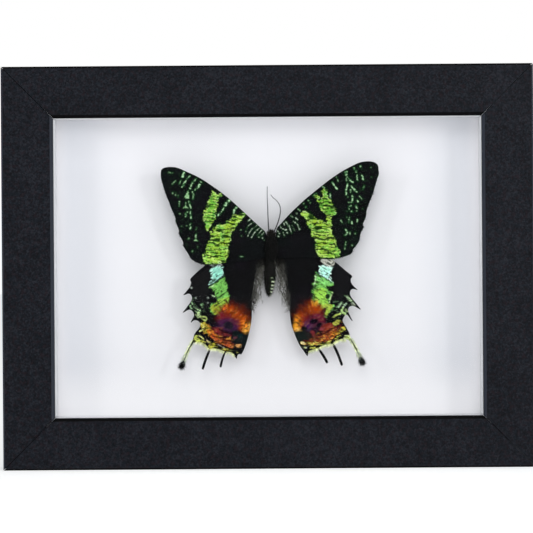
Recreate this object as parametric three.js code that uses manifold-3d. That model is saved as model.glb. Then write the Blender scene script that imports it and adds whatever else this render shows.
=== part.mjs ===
// Framed sunset moth: a spread day-flying moth on a post in a deep black box frame.
// Millimetres, +Z up, the glass faces -Y, the frame stands on its bottom rail.
import * as THREE from 'three';
import { mergeVertices } from 'three/addons/utils/BufferGeometryUtils.js';
import Module from 'manifold-3d';

const wasm = await Module();
wasm.setup();

// Box frame
const openingWidth = 170;
const openingHeight = 119;
const railFace = 20.5;        // width of the moulding seen from the front
const frameDepth = 32;
const lipThickness = 4;       // front lip that holds the glass in
const lipReach = 4;           // how far the lip stands over the glass
const outerEase = 0.7;        // small bevel on the outer front edge
const innerBevel = 1.2;       // bevel on the edge round the opening
const fitGap = 0.3;           // clearance between pieces that touch

// What the frame holds, front to back
const glassThickness = 2;
const mountBoardThickness = 2;
const hardboardThickness = 3;
const boardFrontY = 8;        // white face behind the moth
const spacerThickness = 3.4;

// Retaining tabs and hanger at the back
const tabThickness = 0.6;
const tabWidth = 8;
const tabLength = 13;
const tabInRail = 4;
const hangerWidth = 44;
const hangerHeight = 8.4;
const hangerThickness = 0.9;
const hangerPocketDepth = 1.7;

// Moth
const planUnit = 0.4;         // the wing plan is drawn on a 0.4 mm grid
const planCentre = [268.2, 266.85];
const mothTurn = 0.42;        // degrees it is set clockwise in the frame
const wingThickness = 0.4;
const foreWingY = -4.3;
const hindWingY = -3.4;       // the hindwings lie behind the forewings
const wingTipLift = 1.6;      // tips stand this much nearer the glass
const postRadius = 2.2;

const frameWidth = openingWidth + 2 * railFace;
const frameHeight = openingHeight + 2 * railFace;
const frontY = -frameDepth / 2;
const backY = frameDepth / 2;
const midZ = frameHeight / 2;
const rebateWidth = openingWidth + 2 * lipReach;
const rebateHeight = openingHeight + 2 * lipReach;
const glassFrontY = frontY + lipThickness + fitGap;
const glassBackY = glassFrontY + glassThickness;
const hardboardFrontY = boardFrontY + mountBoardThickness + fitGap;
const hardboardBackY = hardboardFrontY + hardboardThickness;
const tabY = hardboardBackY + fitGap;

// Colours and finishes
const paint = (color, roughness, metalness = 0, more = {}) =>
  new THREE.MeshStandardMaterial({ color, roughness, metalness, ...more });
const frameBlack = paint(0x202228, 0.5);
const clearGlass = paint(0xeef4f4, 0.03, 0, { transparent: true, opacity: 0.12 });
const whiteCard = paint(0xeceef2, 0.85);
const hardboard = paint(0x5f4630, 0.8);
const steel = paint(0x9a9a98, 0.35, 1);
const foam = paint(0xf2f2f0, 0.9);
const foreWingScales = paint(0x2a2a2c, 0.6);
const hindWingScales = paint(0x30302a, 0.6);
const bodyFur = paint(0x2b2a28, 0.9);
const antennaHorn = paint(0x6d6a66, 0.6);

// Closed mesh to a solid that can be cut and joined, and back
function toSolid(geometry) {
  const plain = geometry.clone();
  plain.deleteAttribute('normal');
  plain.deleteAttribute('uv');
  const merged = mergeVertices(plain, 1e-5);
  return new wasm.Manifold(new wasm.Mesh({
    numProp: 3,
    vertProperties: new Float32Array(merged.attributes.position.array),
    triVerts: new Uint32Array(merged.index.array),
  }));
}

function toGeometry(solid) {
  const mesh = solid.getMesh();
  const geometry = new THREE.BufferGeometry();
  geometry.setAttribute('position', new THREE.BufferAttribute(new Float32Array(mesh.vertProperties), 3));
  geometry.setIndex(new THREE.BufferAttribute(new Uint32Array(mesh.triVerts), 1));
  return geometry;
}

const group = new THREE.Group();
group.name = 'framed_moth_specimen';

function addPiece(name, geometry, material) {
  if (!geometry.attributes.normal) geometry.computeVertexNormals();
  const mesh = new THREE.Mesh(geometry, material);
  mesh.name = name;
  group.add(mesh);
  return mesh;
}

function slab(width, depth, height, x, frontFaceY, z) {
  return new THREE.BoxGeometry(width, depth, height).translate(x, frontFaceY + depth / 2, z);
}

// Section across the rail: v runs inwards from the outer edge, y front to back
function railSection() {
  const rebate = railFace - lipReach;
  return [
    [outerEase, frontY], [railFace - innerBevel, frontY], [railFace, frontY + innerBevel],
    [railFace, frontY + lipThickness], [rebate, frontY + lipThickness], [rebate, backY],
    [0, backY], [0, frontY + outerEase],
  ];
}

// A rail along X with its outer edge at z = 0 and its ends cut at 45 degrees
function mitredRail(length) {
  const shape = new THREE.Shape(railSection().map(([v, y]) => new THREE.Vector2(v, y)));
  const geometry = new THREE.ExtrudeGeometry(shape, { depth: 1, bevelEnabled: false, steps: 1 });
  const position = geometry.attributes.position;
  for (let i = 0; i < position.count; i += 1) {
    const v = position.getX(i);
    const y = position.getY(i);
    const side = position.getZ(i) > 0.5 ? -1 : 1;
    position.setXYZ(i, side * (length / 2 - v - fitGap / 2), y, v);
  }
  return geometry;
}

function slotFor(x) {
  const slotY = tabThickness + 2 * fitGap;
  return slab(tabWidth + 2 * fitGap, slotY, tabInRail + 2, x, tabY - fitGap,
    railFace - lipReach - tabInRail - fitGap + (tabInRail + 2) / 2);
}

function railSolid(length, tabsAt, pocket) {
  let solid = toSolid(mitredRail(length));
  for (const x of tabsAt) solid = solid.subtract(toSolid(slotFor(x)));
  if (pocket) {
    const cut = slab(hangerWidth + 1.6, hangerPocketDepth + 1, hangerHeight + 1.6, 0,
      backY - hangerPocketDepth, hangerCentre);
    solid = solid.subtract(toSolid(cut));
  }
  return toGeometry(solid);
}

const hangerCentre = (railFace - lipReach) / 2;
const longTabs = [-46, 46];
const shortTabs = [0];

function placeRails() {
  const bottom = railSolid(frameWidth, longTabs, false);
  const top = railSolid(frameWidth, longTabs, true);
  const side = railSolid(frameHeight, shortTabs, false);
  addPiece('frame_rail_bottom', bottom, frameBlack);
  const topRail = addPiece('frame_rail_top', top.rotateY(Math.PI), frameBlack);
  topRail.position.z = frameHeight;
  const left = addPiece('frame_rail_left', side, frameBlack);
  left.rotation.y = Math.PI / 2;
  left.position.set(-frameWidth / 2, 0, midZ);
  const right = addPiece('frame_rail_right', side.clone(), frameBlack);
  right.rotation.y = -Math.PI / 2;
  right.position.set(frameWidth / 2, 0, midZ);
}

// Glass, spacers and boards, front to back
function placeFilling() {
  const sheetWidth = rebateWidth - 2 * fitGap;
  const sheetHeight = rebateHeight - 2 * fitGap;
  const sheet = (thickness, frontY) => slab(sheetWidth, thickness, sheetHeight, 0, frontY, midZ);
  addPiece('glass_pane', sheet(glassThickness, glassFrontY), clearGlass);
  addPiece('mount_board', sheet(mountBoardThickness, boardFrontY), whiteCard);
  addPiece('back_board', sheet(hardboardThickness, hardboardFrontY), hardboard);

  const from = glassBackY + fitGap;
  const depth = boardFrontY - fitGap - from;
  const sideX = sheetWidth / 2 - spacerThickness / 2;
  const sideZ = sheetHeight / 2 - spacerThickness / 2;
  const shortHeight = sheetHeight - 2 * spacerThickness - 2 * fitGap;
  addPiece('spacer_top', slab(sheetWidth, depth, spacerThickness, 0, from, midZ + sideZ), whiteCard);
  addPiece('spacer_bottom', slab(sheetWidth, depth, spacerThickness, 0, from, midZ - sideZ), whiteCard);
  addPiece('spacer_left', slab(spacerThickness, depth, shortHeight, -sideX, from, midZ), whiteCard);
  addPiece('spacer_right', slab(spacerThickness, depth, shortHeight, sideX, from, midZ), whiteCard);
}

// Flat steel point, square at the rail and rounded at the tip, lying along +Z
function tabGeometry() {
  const half = tabWidth / 2;
  const tip = tabLength - half;
  const shape = new THREE.Shape();
  shape.moveTo(-half, 0);
  shape.lineTo(half, 0);
  shape.lineTo(half, tip - 2);
  shape.absarc(0, tip, 2.2, 0, Math.PI, false);
  shape.lineTo(-half, tip - 2);
  return new THREE.ExtrudeGeometry(shape, { depth: tabThickness, bevelEnabled: false, curveSegments: 5 })
    .rotateX(Math.PI / 2).translate(0, tabThickness, 0);
}

function placeTabs() {
  const rebate = railFace - lipReach - tabInRail;
  const spots = [
    ['tab_bottom_left', longTabs[0], rebate, 0], ['tab_bottom_right', longTabs[1], rebate, 0],
    ['tab_top_left', longTabs[0], frameHeight - rebate, Math.PI],
    ['tab_top_right', longTabs[1], frameHeight - rebate, Math.PI],
    ['tab_left', -frameWidth / 2 + rebate, midZ, Math.PI / 2],
    ['tab_right', frameWidth / 2 - rebate, midZ, -Math.PI / 2],
  ];
  for (const [name, x, z, turn] of spots) {
    const tab = addPiece(name, tabGeometry(), steel);
    tab.rotation.y = turn;
    tab.position.set(x, tabY, z);
  }
}

// Sawtooth plate, let into the back of the top rail and held by two nails
function placeHanger() {
  const shape = new THREE.Shape();
  const half = hangerWidth / 2;
  const low = -hangerHeight / 2;
  const teeth = 9;
  const toothPitch = 2.6;
  const toothHeight = 1.4;
  shape.moveTo(-half, low + 2);
  shape.lineTo(-half + 2, low);
  shape.lineTo(-teeth * toothPitch / 2, low);
  for (let i = 0; i < teeth; i += 1) {
    const x = (i - teeth / 2) * toothPitch;
    shape.lineTo(x + toothPitch / 2, low + toothHeight);
    shape.lineTo(x + toothPitch, low);
  }
  shape.lineTo(half - 2, low);
  shape.lineTo(half, low + 2);
  shape.lineTo(half, -low - 2);
  shape.lineTo(half - 2, -low);
  shape.lineTo(-half + 2, -low);
  shape.lineTo(-half, -low - 2);
  const plateY = backY - hangerPocketDepth + fitGap;
  const plate = new THREE.ExtrudeGeometry(shape, { depth: hangerThickness, bevelEnabled: false })
    .rotateX(Math.PI / 2).translate(0, plateY + hangerThickness, frameHeight - hangerCentre);
  let solid = toSolid(plate);
  for (const side of [-1, 1]) {
    const nail = new THREE.CylinderGeometry(1.5, 1.5, hangerThickness + 0.35, 16)
      .translate(side * 18.5, plateY + (hangerThickness + 0.35) / 2, frameHeight - hangerCentre + 0.6);
    solid = solid.add(toSolid(nail));
  }
  addPiece('sawtooth_hanger', toGeometry(solid), steel);
}

// Plan position on the drawing grid (u right, v down) to x and z in the frame
function plan(u, v) {
  const turn = THREE.MathUtils.degToRad(mothTurn);
  const du = u - planCentre[0];
  const dv = v - planCentre[1];
  return [
    planUnit * (du * Math.cos(turn) - dv * Math.sin(turn)),
    midZ - planUnit * (du * Math.sin(turn) + dv * Math.cos(turn)),
  ];
}

// The spread wings rise towards the glass at the tips and wave a little
function wingRise(x, z) {
  const out = Math.abs(x) / 44;
  return -wingTipLift * out ** 1.4 - 0.3 * Math.sin((z - midZ) / 9 + Math.abs(x) / 14);
}

// A wing: its outline cut out of a thin slab that follows the wing's rise
function wing(outline, depthY, cell = 3.6) {
  const points = outline.map(([u, v]) => new THREE.Vector2(...plan(u, v)));
  const prism = new THREE.ExtrudeGeometry(new THREE.Shape(points), { depth: 20, bevelEnabled: false })
    .rotateX(Math.PI / 2).translate(0, depthY + 10, 0);
  const box = new THREE.Box2().setFromPoints(points);
  const width = box.max.x - box.min.x + 2;
  const height = box.max.y - box.min.y + 2;
  const sheet = new THREE.BoxGeometry(width, wingThickness, height,
    Math.round(width / cell), 1, Math.round(height / cell));
  sheet.translate((box.max.x + box.min.x) / 2, depthY, (box.max.y + box.min.y) / 2);
  const position = sheet.attributes.position;
  for (let i = 0; i < position.count; i += 1) {
    position.setY(i, position.getY(i) + wingRise(position.getX(i), position.getZ(i)));
  }
  return toGeometry(toSolid(prism).intersect(toSolid(sheet)));
}

const leftForeWing = [
  [161.3, 171], [164, 168.2], [168, 167.3], [172, 167.2], [176, 167.6], [180, 168.8], [188, 172.4],
  [196, 176], [204, 180.5], [210, 184.5], [220, 191.5], [230, 199.5], [240, 208.5], [250, 217.8],
  [260, 227], [263.2, 230], [263.2, 257.5], [240, 261], [225, 262.9], [212, 264.6], [206, 264.9],
  [202, 264.3], [198, 263], [195, 261.5], [192, 259.5], [188, 253.5], [183.3, 246], [182.8, 241],
  [178.8, 233.5], [178.5, 228.5], [175.3, 221], [175.5, 218], [173, 212], [170.5, 206], [166, 194],
  [163, 185.5], [161.2, 179],
];

const rightForeWing = [
  [279.6, 225], [290.2, 213.4], [300, 204], [312.5, 192.9], [321.4, 185.7], [330.4, 178.9],
  [340, 172.6], [350, 167], [357.1, 163.4], [362, 161.9], [368, 161.5], [373.5, 162.3], [377, 164.6],
  [378.5, 168], [378.6, 174.1], [376.8, 179.5], [374.6, 187], [373, 193], [370, 201], [367.6, 207],
  [366.4, 213], [365.8, 217], [362.6, 224.5], [363.3, 227.3], [360.8, 232.8], [359.5, 240], [356.5, 245.5],
  [353, 249.5], [351.8, 252.8], [348.5, 255.3], [343, 257.3], [337.5, 258.5], [331, 259.2],
  [324, 259], [317, 257.8], [300, 257], [279.6, 257.5],
];

// Hindwing edges: four teeth, a long tail with a dark club and two thin tails
const leftHindWing = [
  [262, 250], [235, 251], [215, 256], [205.5, 265.5], [200, 269.5], [194, 275], [190, 279.7],
  [191.2, 283], [189.8, 287], [187, 290.5], [183.3, 295], [189, 293.8], [191.8, 296.2], [192, 299.5],
  [189.5, 303.5], [187, 307], [182.3, 312.8], [187, 310.6], [190.5, 309.8], [193.8, 313], [194, 316.5],
  [191.5, 320.5], [189.5, 324.4], [192.5, 322], [195.5, 320.5], [200, 322.5], [200.5, 326], [199, 329],
  [194.3, 334.5], [192, 340], [189.5, 344.5], [186.5, 349.5], [184, 354.5], [181, 360.5], [178, 365],
  [178.5, 369.5], [181.5, 371], [185, 369.8], [185.8, 366], [184.8, 362], [186.5, 357], [188.8, 352.5],
  [192, 348], [197, 345.5], [203, 345.5], [206.5, 348], [208.5, 351], [206.8, 354.5], [204.8, 359],
  [203.3, 363.5], [201.8, 368.8], [203.6, 369.2], [205.3, 363.8], [207, 359.2], [209.3, 354.5],
  [211.3, 351.3], [216, 350.5], [221, 351.8], [224, 353.5], [222.3, 356], [220.9, 360.5],
  [219.9, 366.3], [221.5, 366.8], [223.2, 360.5], [225, 356.2], [228, 354], [232.5, 355],
  [236.7, 359.3], [238, 355.8], [240.5, 356.3], [243, 353], [246, 346.5], [248.5, 338], [250.5, 329],
  [252, 319], [254, 309], [257.5, 298], [260, 287], [261.3, 275], [261.8, 262],
];

const rightHindWing = [
  [280.6, 250], [315, 252], [334.7, 262.4], [341.3, 267.2], [346.3, 271.4], [352.1, 276.2],
  [350.6, 279.5], [350.9, 282.5], [354, 286.2], [358.2, 290.3], [353.7, 289.2], [350.6, 290.3],
  [349.8, 293.5], [352, 298], [356, 303.3], [361, 310], [355.5, 307.2], [352, 306], [349, 307.5],
  [348, 310.5], [350, 315.5], [353.2, 322], [349.6, 318.4], [346.4, 314.8], [344, 317.5], [342.5, 321],
  [345.5, 325.5], [347, 328.8], [347.5, 331.5], [350.5, 333.5], [351, 337], [354.2, 340.5],
  [356.5, 345], [358.9, 351.5], [361.9, 355.5], [365, 359.5], [366.3, 363], [364, 366.2],
  [360.8, 365.3], [358.7, 361.5], [358.3, 357], [356, 351], [353.2, 345.8], [350, 342.6], [346, 341],
  [340, 341.5], [334.5, 343.3], [337.2, 348.5], [339.9, 356], [342.5, 364.6], [340.9, 365.2],
  [338.2, 357], [335, 349.8], [332, 345.5], [326, 347], [320.3, 349], [323.5, 354.2], [327.6, 362.2],
  [326, 362.9], [321.3, 355], [317.7, 350], [313, 351], [309.5, 352.5], [307.6, 356.3],
  [305.3, 354.5], [304, 351.5], [299, 345], [295.5, 338], [292.2, 329.5], [290, 320], [288.5, 311],
  [285.5, 301], [282, 291], [280.2, 280], [279.2, 270], [279, 262],
];

function placeWings() {
  addPiece('forewing_left', wing(leftForeWing, foreWingY), foreWingScales);
  addPiece('forewing_right', wing(rightForeWing, foreWingY), foreWingScales);
  addPiece('hindwing_left', wing(leftHindWing, hindWingY), hindWingScales);
  addPiece('hindwing_right', wing(rightHindWing, hindWingY), hindWingScales);
}

// An ellipsoid by its half sizes in x, y, z, placed on the plan and tilted in it
function lobe(u, v, y, halfX, halfY, halfZ, tilt = 0, around = 22, down = 14) {
  const [x, z] = plan(u, v);
  return new THREE.SphereGeometry(1, around, down).rotateX(Math.PI / 2).scale(halfX, halfY, halfZ)
    .rotateY(THREE.MathUtils.degToRad(tilt)).translate(x, y, z);
}

const thoraxUv = [271.5, 247];
const thoraxY = -3.6;
const thoraxHalf = [2.7, 2.9, 5.4];

function placeBody() {
  const thorax = lobe(...thoraxUv, thoraxY, ...thoraxHalf);
  const head = lobe(271.2, 234.3, -4.1, 1.5, 1.5, 1.6, 0, 16, 10);
  const abdomen = lobe(270, 275.5, -3.3, 2.5, 2.4, 8.3, 1.8, 20, 18);
  const body = toSolid(thorax).add(toSolid(head)).add(toSolid(abdomen));
  addPiece('moth_body', toGeometry(body), bodyFur);
}

function antenna(points) {
  const curve = new THREE.CatmullRomCurve3(points.map(([u, v, y]) => {
    const [x, z] = plan(u, v);
    return new THREE.Vector3(x, y, z);
  }));
  const ring = new THREE.Shape();
  ring.absarc(0, 0, 0.22, 0, Math.PI * 2, false);
  return new THREE.ExtrudeGeometry(ring, { extrudePath: curve, steps: 16, curveSegments: 4 });
}

function placeAntennae() {
  addPiece('antenna_left', antenna([[268.6, 229.3, -4.9], [268, 217.3, -5.3], [267.6, 204.9, -5.5],
    [267.2, 194.9, -5.5], [267.3, 186.6, -5.4]]), antennaHorn);
  addPiece('antenna_right', antenna([[275, 230.2, -4.9], [277.7, 223.1, -5.2], [279.8, 215.7, -5.5],
    [280.4, 209.9, -5.6], [279.4, 204.9, -5.7], [276.5, 200.7, -5.8], [273.1, 197.8, -5.8],
    [270.7, 194.9, -5.8]]), antennaHorn);
}

// Foam post between the thorax and the mount board
function placePost() {
  const [x, z] = plan(...thoraxUv);
  const from = thoraxY + thoraxHalf[1] + fitGap;
  const length = boardFrontY - fitGap - from;
  addPiece('foam_post', new THREE.CylinderGeometry(postRadius, postRadius, length, 24)
    .translate(x, from + length / 2, z), foam);
}

placeRails();
placeFilling();
placeTabs();
placeHanger();
placeWings();
placeBody();
placeAntennae();
placePost();

export default group;
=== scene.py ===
import math

import bpy
import numpy as np
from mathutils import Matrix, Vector
from mathutils.geometry import delaunay_2d_cdt


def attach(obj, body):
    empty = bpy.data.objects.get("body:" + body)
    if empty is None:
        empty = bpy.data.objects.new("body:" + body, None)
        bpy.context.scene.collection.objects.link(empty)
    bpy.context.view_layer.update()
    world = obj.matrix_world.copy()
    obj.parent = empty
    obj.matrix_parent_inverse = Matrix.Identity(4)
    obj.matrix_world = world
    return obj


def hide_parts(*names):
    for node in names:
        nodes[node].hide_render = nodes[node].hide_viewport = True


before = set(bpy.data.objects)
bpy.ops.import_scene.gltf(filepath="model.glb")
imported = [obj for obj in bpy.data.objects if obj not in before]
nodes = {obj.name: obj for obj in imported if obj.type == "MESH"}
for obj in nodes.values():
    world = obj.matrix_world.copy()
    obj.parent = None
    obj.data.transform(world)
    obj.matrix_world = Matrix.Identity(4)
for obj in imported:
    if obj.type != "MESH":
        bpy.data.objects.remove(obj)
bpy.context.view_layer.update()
mm = 0.001

# The same measures as the solids, in mm
openingWidth = 170
openingHeight = 119
railFace = 20.5
frameDepth = 32
midZ = openingHeight / 2 + railFace
planUnit = 0.4                  # the moth is drawn on a 0.4 mm grid, u to the right and v down
planCentre = (268.2, 266.85)    # the grid's point at the middle of the frame
bodyLine = 271.5                # the grid line along the middle of the body
mothTurn = 0.42                 # degrees
foreWingY = -4.3
hindWingY = -3.4


def plan(points):
    # drawing grid to x and z in mm
    grid = np.atleast_2d(np.array(points, float))
    a = math.radians(mothTurn)
    u = grid[:, 0] - planCentre[0]
    v = grid[:, 1] - planCentre[1]
    return np.stack([planUnit * (u * math.cos(a) - v * math.sin(a)),
                     midZ - planUnit * (u * math.sin(a) + v * math.cos(a))], axis=1)


def unplan(xz):
    # x and z in mm back to the drawing grid
    a = math.radians(mothTurn)
    right = xz[:, 0] / planUnit
    down = (midZ - xz[:, 1]) / planUnit
    return np.stack([planCentre[0] + right * math.cos(a) + down * math.sin(a),
                     planCentre[1] - right * math.sin(a) + down * math.cos(a)], axis=1)


class Socket:
    # a shader socket that can stand in an expression
    def __init__(self, maker, link):
        self.maker = maker
        self.link = link

    def combine(self, operation, *values):
        return self.maker.node("ShaderNodeMath", {"operation": operation}, *values)

    def __add__(self, other):
        return self.combine("ADD", self, other)

    def __radd__(self, other):
        return self.combine("ADD", other, self)

    def __sub__(self, other):
        return self.combine("SUBTRACT", self, other)

    def __rsub__(self, other):
        return self.combine("SUBTRACT", other, self)

    def __mul__(self, other):
        return self.combine("MULTIPLY", self, other)

    def __rmul__(self, other):
        return self.combine("MULTIPLY", other, self)

    def clamp(self):
        return self.maker.node("ShaderNodeClamp", {}, self)

    def absolute(self):
        return self.combine("ABSOLUTE", self)

    def fit(self, low, high, first=0.0, last=1.0):
        # eased from first at low to last at high
        easing = {"interpolation_type": "SMOOTHSTEP"}
        return self.maker.node("ShaderNodeMapRange", easing, self, low, high, first, last)


class Finish:
    # one material and the nodes that make it
    def __init__(self, name):
        self.material = bpy.data.materials.new(name)
        self.material.use_nodes = True
        self.tree = self.material.node_tree
        self.tree.nodes.clear()
        self.result = self.tree.nodes.new("ShaderNodeOutputMaterial")

    def fill(self, target, value):
        if isinstance(value, Socket):
            self.tree.links.new(value.link, target)
        else:
            target.default_value = value

    def node(self, kind, settings, *values, out=0, **named):
        made = self.tree.nodes.new(kind)
        for key, value in settings.items():
            if key == "stops":
                self.setStops(made.color_ramp.elements, value)
            else:
                setattr(made, key, value)
        for place, value in enumerate(values):
            self.fill(made.inputs[place], value)
        for key, value in named.items():
            self.fill(made.inputs[key.replace("_", " ")], value)
        return Socket(self, made.outputs[out])

    def setStops(self, elements, stops):
        while len(elements) < len(stops):
            elements.new(0.5)
        for element, (position, colour) in zip(elements, stops):
            element.position = position
            element.color = (*colour, 1)

    def shades(self, stops, value):
        return self.node("ShaderNodeValToRGB", {"stops": stops}, value)

    def mix(self, first, second, share):
        # one colour into another
        made = self.tree.nodes.new("ShaderNodeMix")
        made.data_type = "RGBA"
        self.fill(made.inputs[0], share)
        for place, colour in ((6, first), (7, second)):
            self.fill(made.inputs[place], colour if isinstance(colour, Socket) else (*colour, 1))
        return Socket(self, made.outputs[2])

    def place(self):
        return self.node("ShaderNodeTexCoord", {}, out="Object")

    def parts(self, vector):
        split = self.node("ShaderNodeSeparateXYZ", {}, vector)
        return [Socket(self, split.link.node.outputs[i]) for i in range(3)]

    def stretch(self, vector, scale):
        return self.node("ShaderNodeMapping", {}, vector, Scale=scale)

    def noise(self, vector, scale, detail=2, rough=0.5):
        values = {"Scale": scale, "Detail": detail, "Roughness": rough}
        return self.node("ShaderNodeTexNoise", {}, Vector=vector, **values)

    def attribute(self, name, out="Fac"):
        return self.node("ShaderNodeAttribute", {"attribute_name": name}, out=out)

    def bump(self, height, strength, distance):
        return self.node("ShaderNodeBump", {}, Height=height, Strength=strength, Distance=distance)

    def surface(self, **inputs):
        shader = self.node("ShaderNodeBsdfPrincipled", {}, **inputs)
        self.tree.links.new(shader.link, self.result.inputs[0])
        return self


def linear(r, g, b):
    # a screen colour, 0 to 255, to the linear one that a shader takes
    return tuple((c / 255 / 12.92) if c <= 10 else ((c / 255 + 0.055) / 1.055) ** 2.4 for c in (r, g, b))


def toned(colour, tone):
    return tuple(c * t for c, t in zip(colour, tone))


def dress(nodeName, finish):
    mesh = nodes[nodeName].data
    mesh.materials.clear()
    mesh.materials.append(finish.material)


# Drawing on the wings. Spots are the points of a sheet, on the drawing grid
noiseCells = 256
markReach = 7                   # a mark is measured this far round its outline
farOff = -99.0


def spline(a, b, c, d, t):
    # Catmull-Rom curve from b to c
    return 0.5 * (2 * b + (c - a) * t + (2 * a - 5 * b + 4 * c - d) * t ** 2
                  + (3 * b - a - 3 * c + d) * t ** 3)


def smoothClosed(points, each=4):
    p = np.array(points, float)
    around = (np.roll(p, 1, 0), p, np.roll(p, -1, 0), np.roll(p, -2, 0))
    return np.stack([spline(*around, t) for t in np.arange(each) / each], 1).reshape(-1, 2)


def smoothOpen(points, each=6):
    p = np.array(points, float)
    p = np.vstack([2 * p[0] - p[1], p, 2 * p[-1] - p[-2]])
    steps = np.arange(each) / each
    out = [spline(*four, t) for four in zip(p[:-3], p[1:-2], p[2:-1], p[3:]) for t in steps]
    return np.array(out + [p[-2]])


def closed(path):
    return np.vstack([path, path[:1]])


def distanceToPath(spots, path):
    best = np.full(len(spots), 1e9)
    for a, b in zip(path[:-1], path[1:]):
        ab = b - a
        t = np.clip(((spots - a) @ ab) / max(ab @ ab, 1e-9), 0, 1)
        best = np.minimum(best, np.hypot(*(spots - a - t[:, None] * ab).T))
    return best


def insidePath(spots, path):
    u, v = spots.T
    inside = np.zeros(len(spots), bool)
    for (u0, v0), (u1, v1) in zip(path, np.roll(path, -1, 0)):
        if v0 != v1:
            inside ^= ((v0 > v) != (v1 > v)) & (u < (u1 - u0) * (v - v0) / (v1 - v0) + u0)
    return inside


def measured(spots, path, measure):
    # only spots near a mark are measured, the rest count as far away
    near = np.all((spots > path.min(0) - markReach) & (spots < path.max(0) + markReach), axis=1)
    out = np.full(len(spots), farOff)
    out[near] = measure(spots[near])
    return out


def area(spots, points, smooth=True):
    # distance to an outline in drawing units, positive inside
    path = smoothClosed(points) if smooth else np.array(points, float)

    def depth(near):
        away = distanceToPath(near, closed(path))
        return np.where(insidePath(near, path), away, -away)
    return measured(spots, path, depth)


def stroke(spots, points, width):
    path = smoothOpen(points) if len(points) > 2 else np.array(points, float)
    return measured(spots, path, lambda near: width / 2 - distanceToPath(near, path))


def oval(spots, centre, wide, tall=None, tilt=0.0):
    tall = tall or wide
    e, f = turned(spots[:, 0] - centre[0], spots[:, 1] - centre[1], tilt)
    return (1 - np.hypot(e / wide, f / tall)) * min(wide, tall)


def turned(e, f, tilt):
    a = math.radians(tilt)
    return e * math.cos(a) + f * math.sin(a), f * math.cos(a) - e * math.sin(a)


def clamped(values):
    return np.clip(values, 0, 1)


def ramp(depth, soft):
    t = clamped(depth / soft + 0.5)
    return t * t * (3 - 2 * t)


def grain(spots, size, seed):
    # smooth value noise, -1 to 1
    table = np.random.default_rng(seed).uniform(-1, 1, (noiseCells, noiseCells))
    scaled = spots / size
    cell = np.floor(scaled).astype(int)
    ease = scaled - cell
    ease = ease * ease * (3 - 2 * ease)

    def corner(right, down):
        return table[(cell[:, 0] + right) % noiseCells, (cell[:, 1] + down) % noiseCells]

    low = corner(0, 0) * (1 - ease[:, 0]) + corner(1, 0) * ease[:, 0]
    high = corner(0, 1) * (1 - ease[:, 0]) + corner(1, 1) * ease[:, 0]
    return low * (1 - ease[:, 1]) + high * ease[:, 1]


def rows(spots, seed, tilt=0.0, long=3.6, fine=0.95):
    # the same noise drawn out along the rows of scales
    e, f = turned(spots[:, 0], spots[:, 1], tilt)
    return grain(np.stack([e / long, f / fine], 1), 1.0, seed)


def rays(spots, centre, seed, count=30, long=5):
    # the same noise drawn out from a centre
    e, f = spots[:, 0] - centre[0], spots[:, 1] - centre[1]
    return grain(np.stack([np.arctan2(f, e) / math.pi * count, np.hypot(e, f) / long], 1), 1.0, seed)


class Paint:
    # colour laid over colour at each spot of a wing
    def __init__(self, spots, base):
        self.colour = np.tile(np.array(linear(*base)), (len(spots), 1))
        self.edge = 0.34 * grain(spots, 0.9, 3) + 0.22 * grain(spots, 2.3, 4)

    def lay(self, depth, colour, soft=0.7, amount=1.0, ragged=1.0):
        self.cover(ramp(depth + ragged * self.edge, soft) * amount, colour)

    def blend(self, mask, colour):
        self.cover(clamped(mask), colour)

    def cover(self, share, colour):
        m = share[:, None]
        self.colour = self.colour * (1 - m) + np.array(linear(*colour)) * m


# Outlines of the wings
leftForeEdge = [
    (161.3, 171), (162, 169.6), (164, 168.2), (168, 167.3), (172, 167.2), (176, 167.6), (180, 168.8),
    (184, 170.6), (188, 172.4), (196, 176), (204, 180.5), (210, 184.5), (220, 191.5), (230, 199.5),
    (240, 208.5), (250, 217.8), (260, 227), (265, 231.5), (267, 238), (267, 250), (265.5, 257.5),
    (252, 260.5), (240, 261.8), (225, 263), (218, 264), (212, 264.5), (206, 264.8), (202, 264.2),
    (198, 263), (195, 261.5), (192, 259.5), (190, 257), (188, 253.5), (185.5, 249.5), (183.3, 246),
    (183.4, 243.4), (182.8, 241), (180.6, 237), (178.8, 233.5), (179.2, 231), (178.5, 228.5),
    (177, 225), (175.3, 221), (175.8, 219.4), (175.3, 217.4), (174.2, 214.6), (173, 212), (171.8, 209),
    (170.5, 206), (169.2, 202.2), (167.5, 198.5), (166, 194), (164.5, 190), (163.2, 185.5),
    (162.2, 182), (161.3, 179), (161, 174)]
rightForeEdge = [
    (276.5, 229), (281.3, 223.2), (290.2, 213.4), (300, 204), (306, 198.5), (312.5, 193.2),
    (321.4, 186), (330.4, 179.1), (340, 172.6), (345, 169.7), (350, 167), (357.1, 163.6), (362, 162.1),
    (368, 161.5), (373.5, 162.3), (376.6, 164.2), (378.1, 167), (378.3, 170.5), (378.7, 174.1),
    (376.9, 179.5), (375.6, 184), (374.4, 188), (373.2, 192.5), (371.6, 197), (369.6, 201.5),
    (367.8, 206.5), (366.6, 210.5), (366.1, 214), (365.8, 217), (364.1, 221), (362.7, 224.4),
    (363.5, 226.6), (362.6, 229.3), (360.8, 232.8), (359.9, 236.5), (359.2, 240.5), (357.2, 244),
    (355.2, 246.8), (353, 249.3), (352.6, 251.3), (351, 253.6), (348, 255.3), (343, 257),
    (337.5, 258.3), (331, 259.1), (324, 259), (317, 258), (300, 258), (285, 259), (277.5, 257.5),
    (276, 250), (276, 238)]
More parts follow.
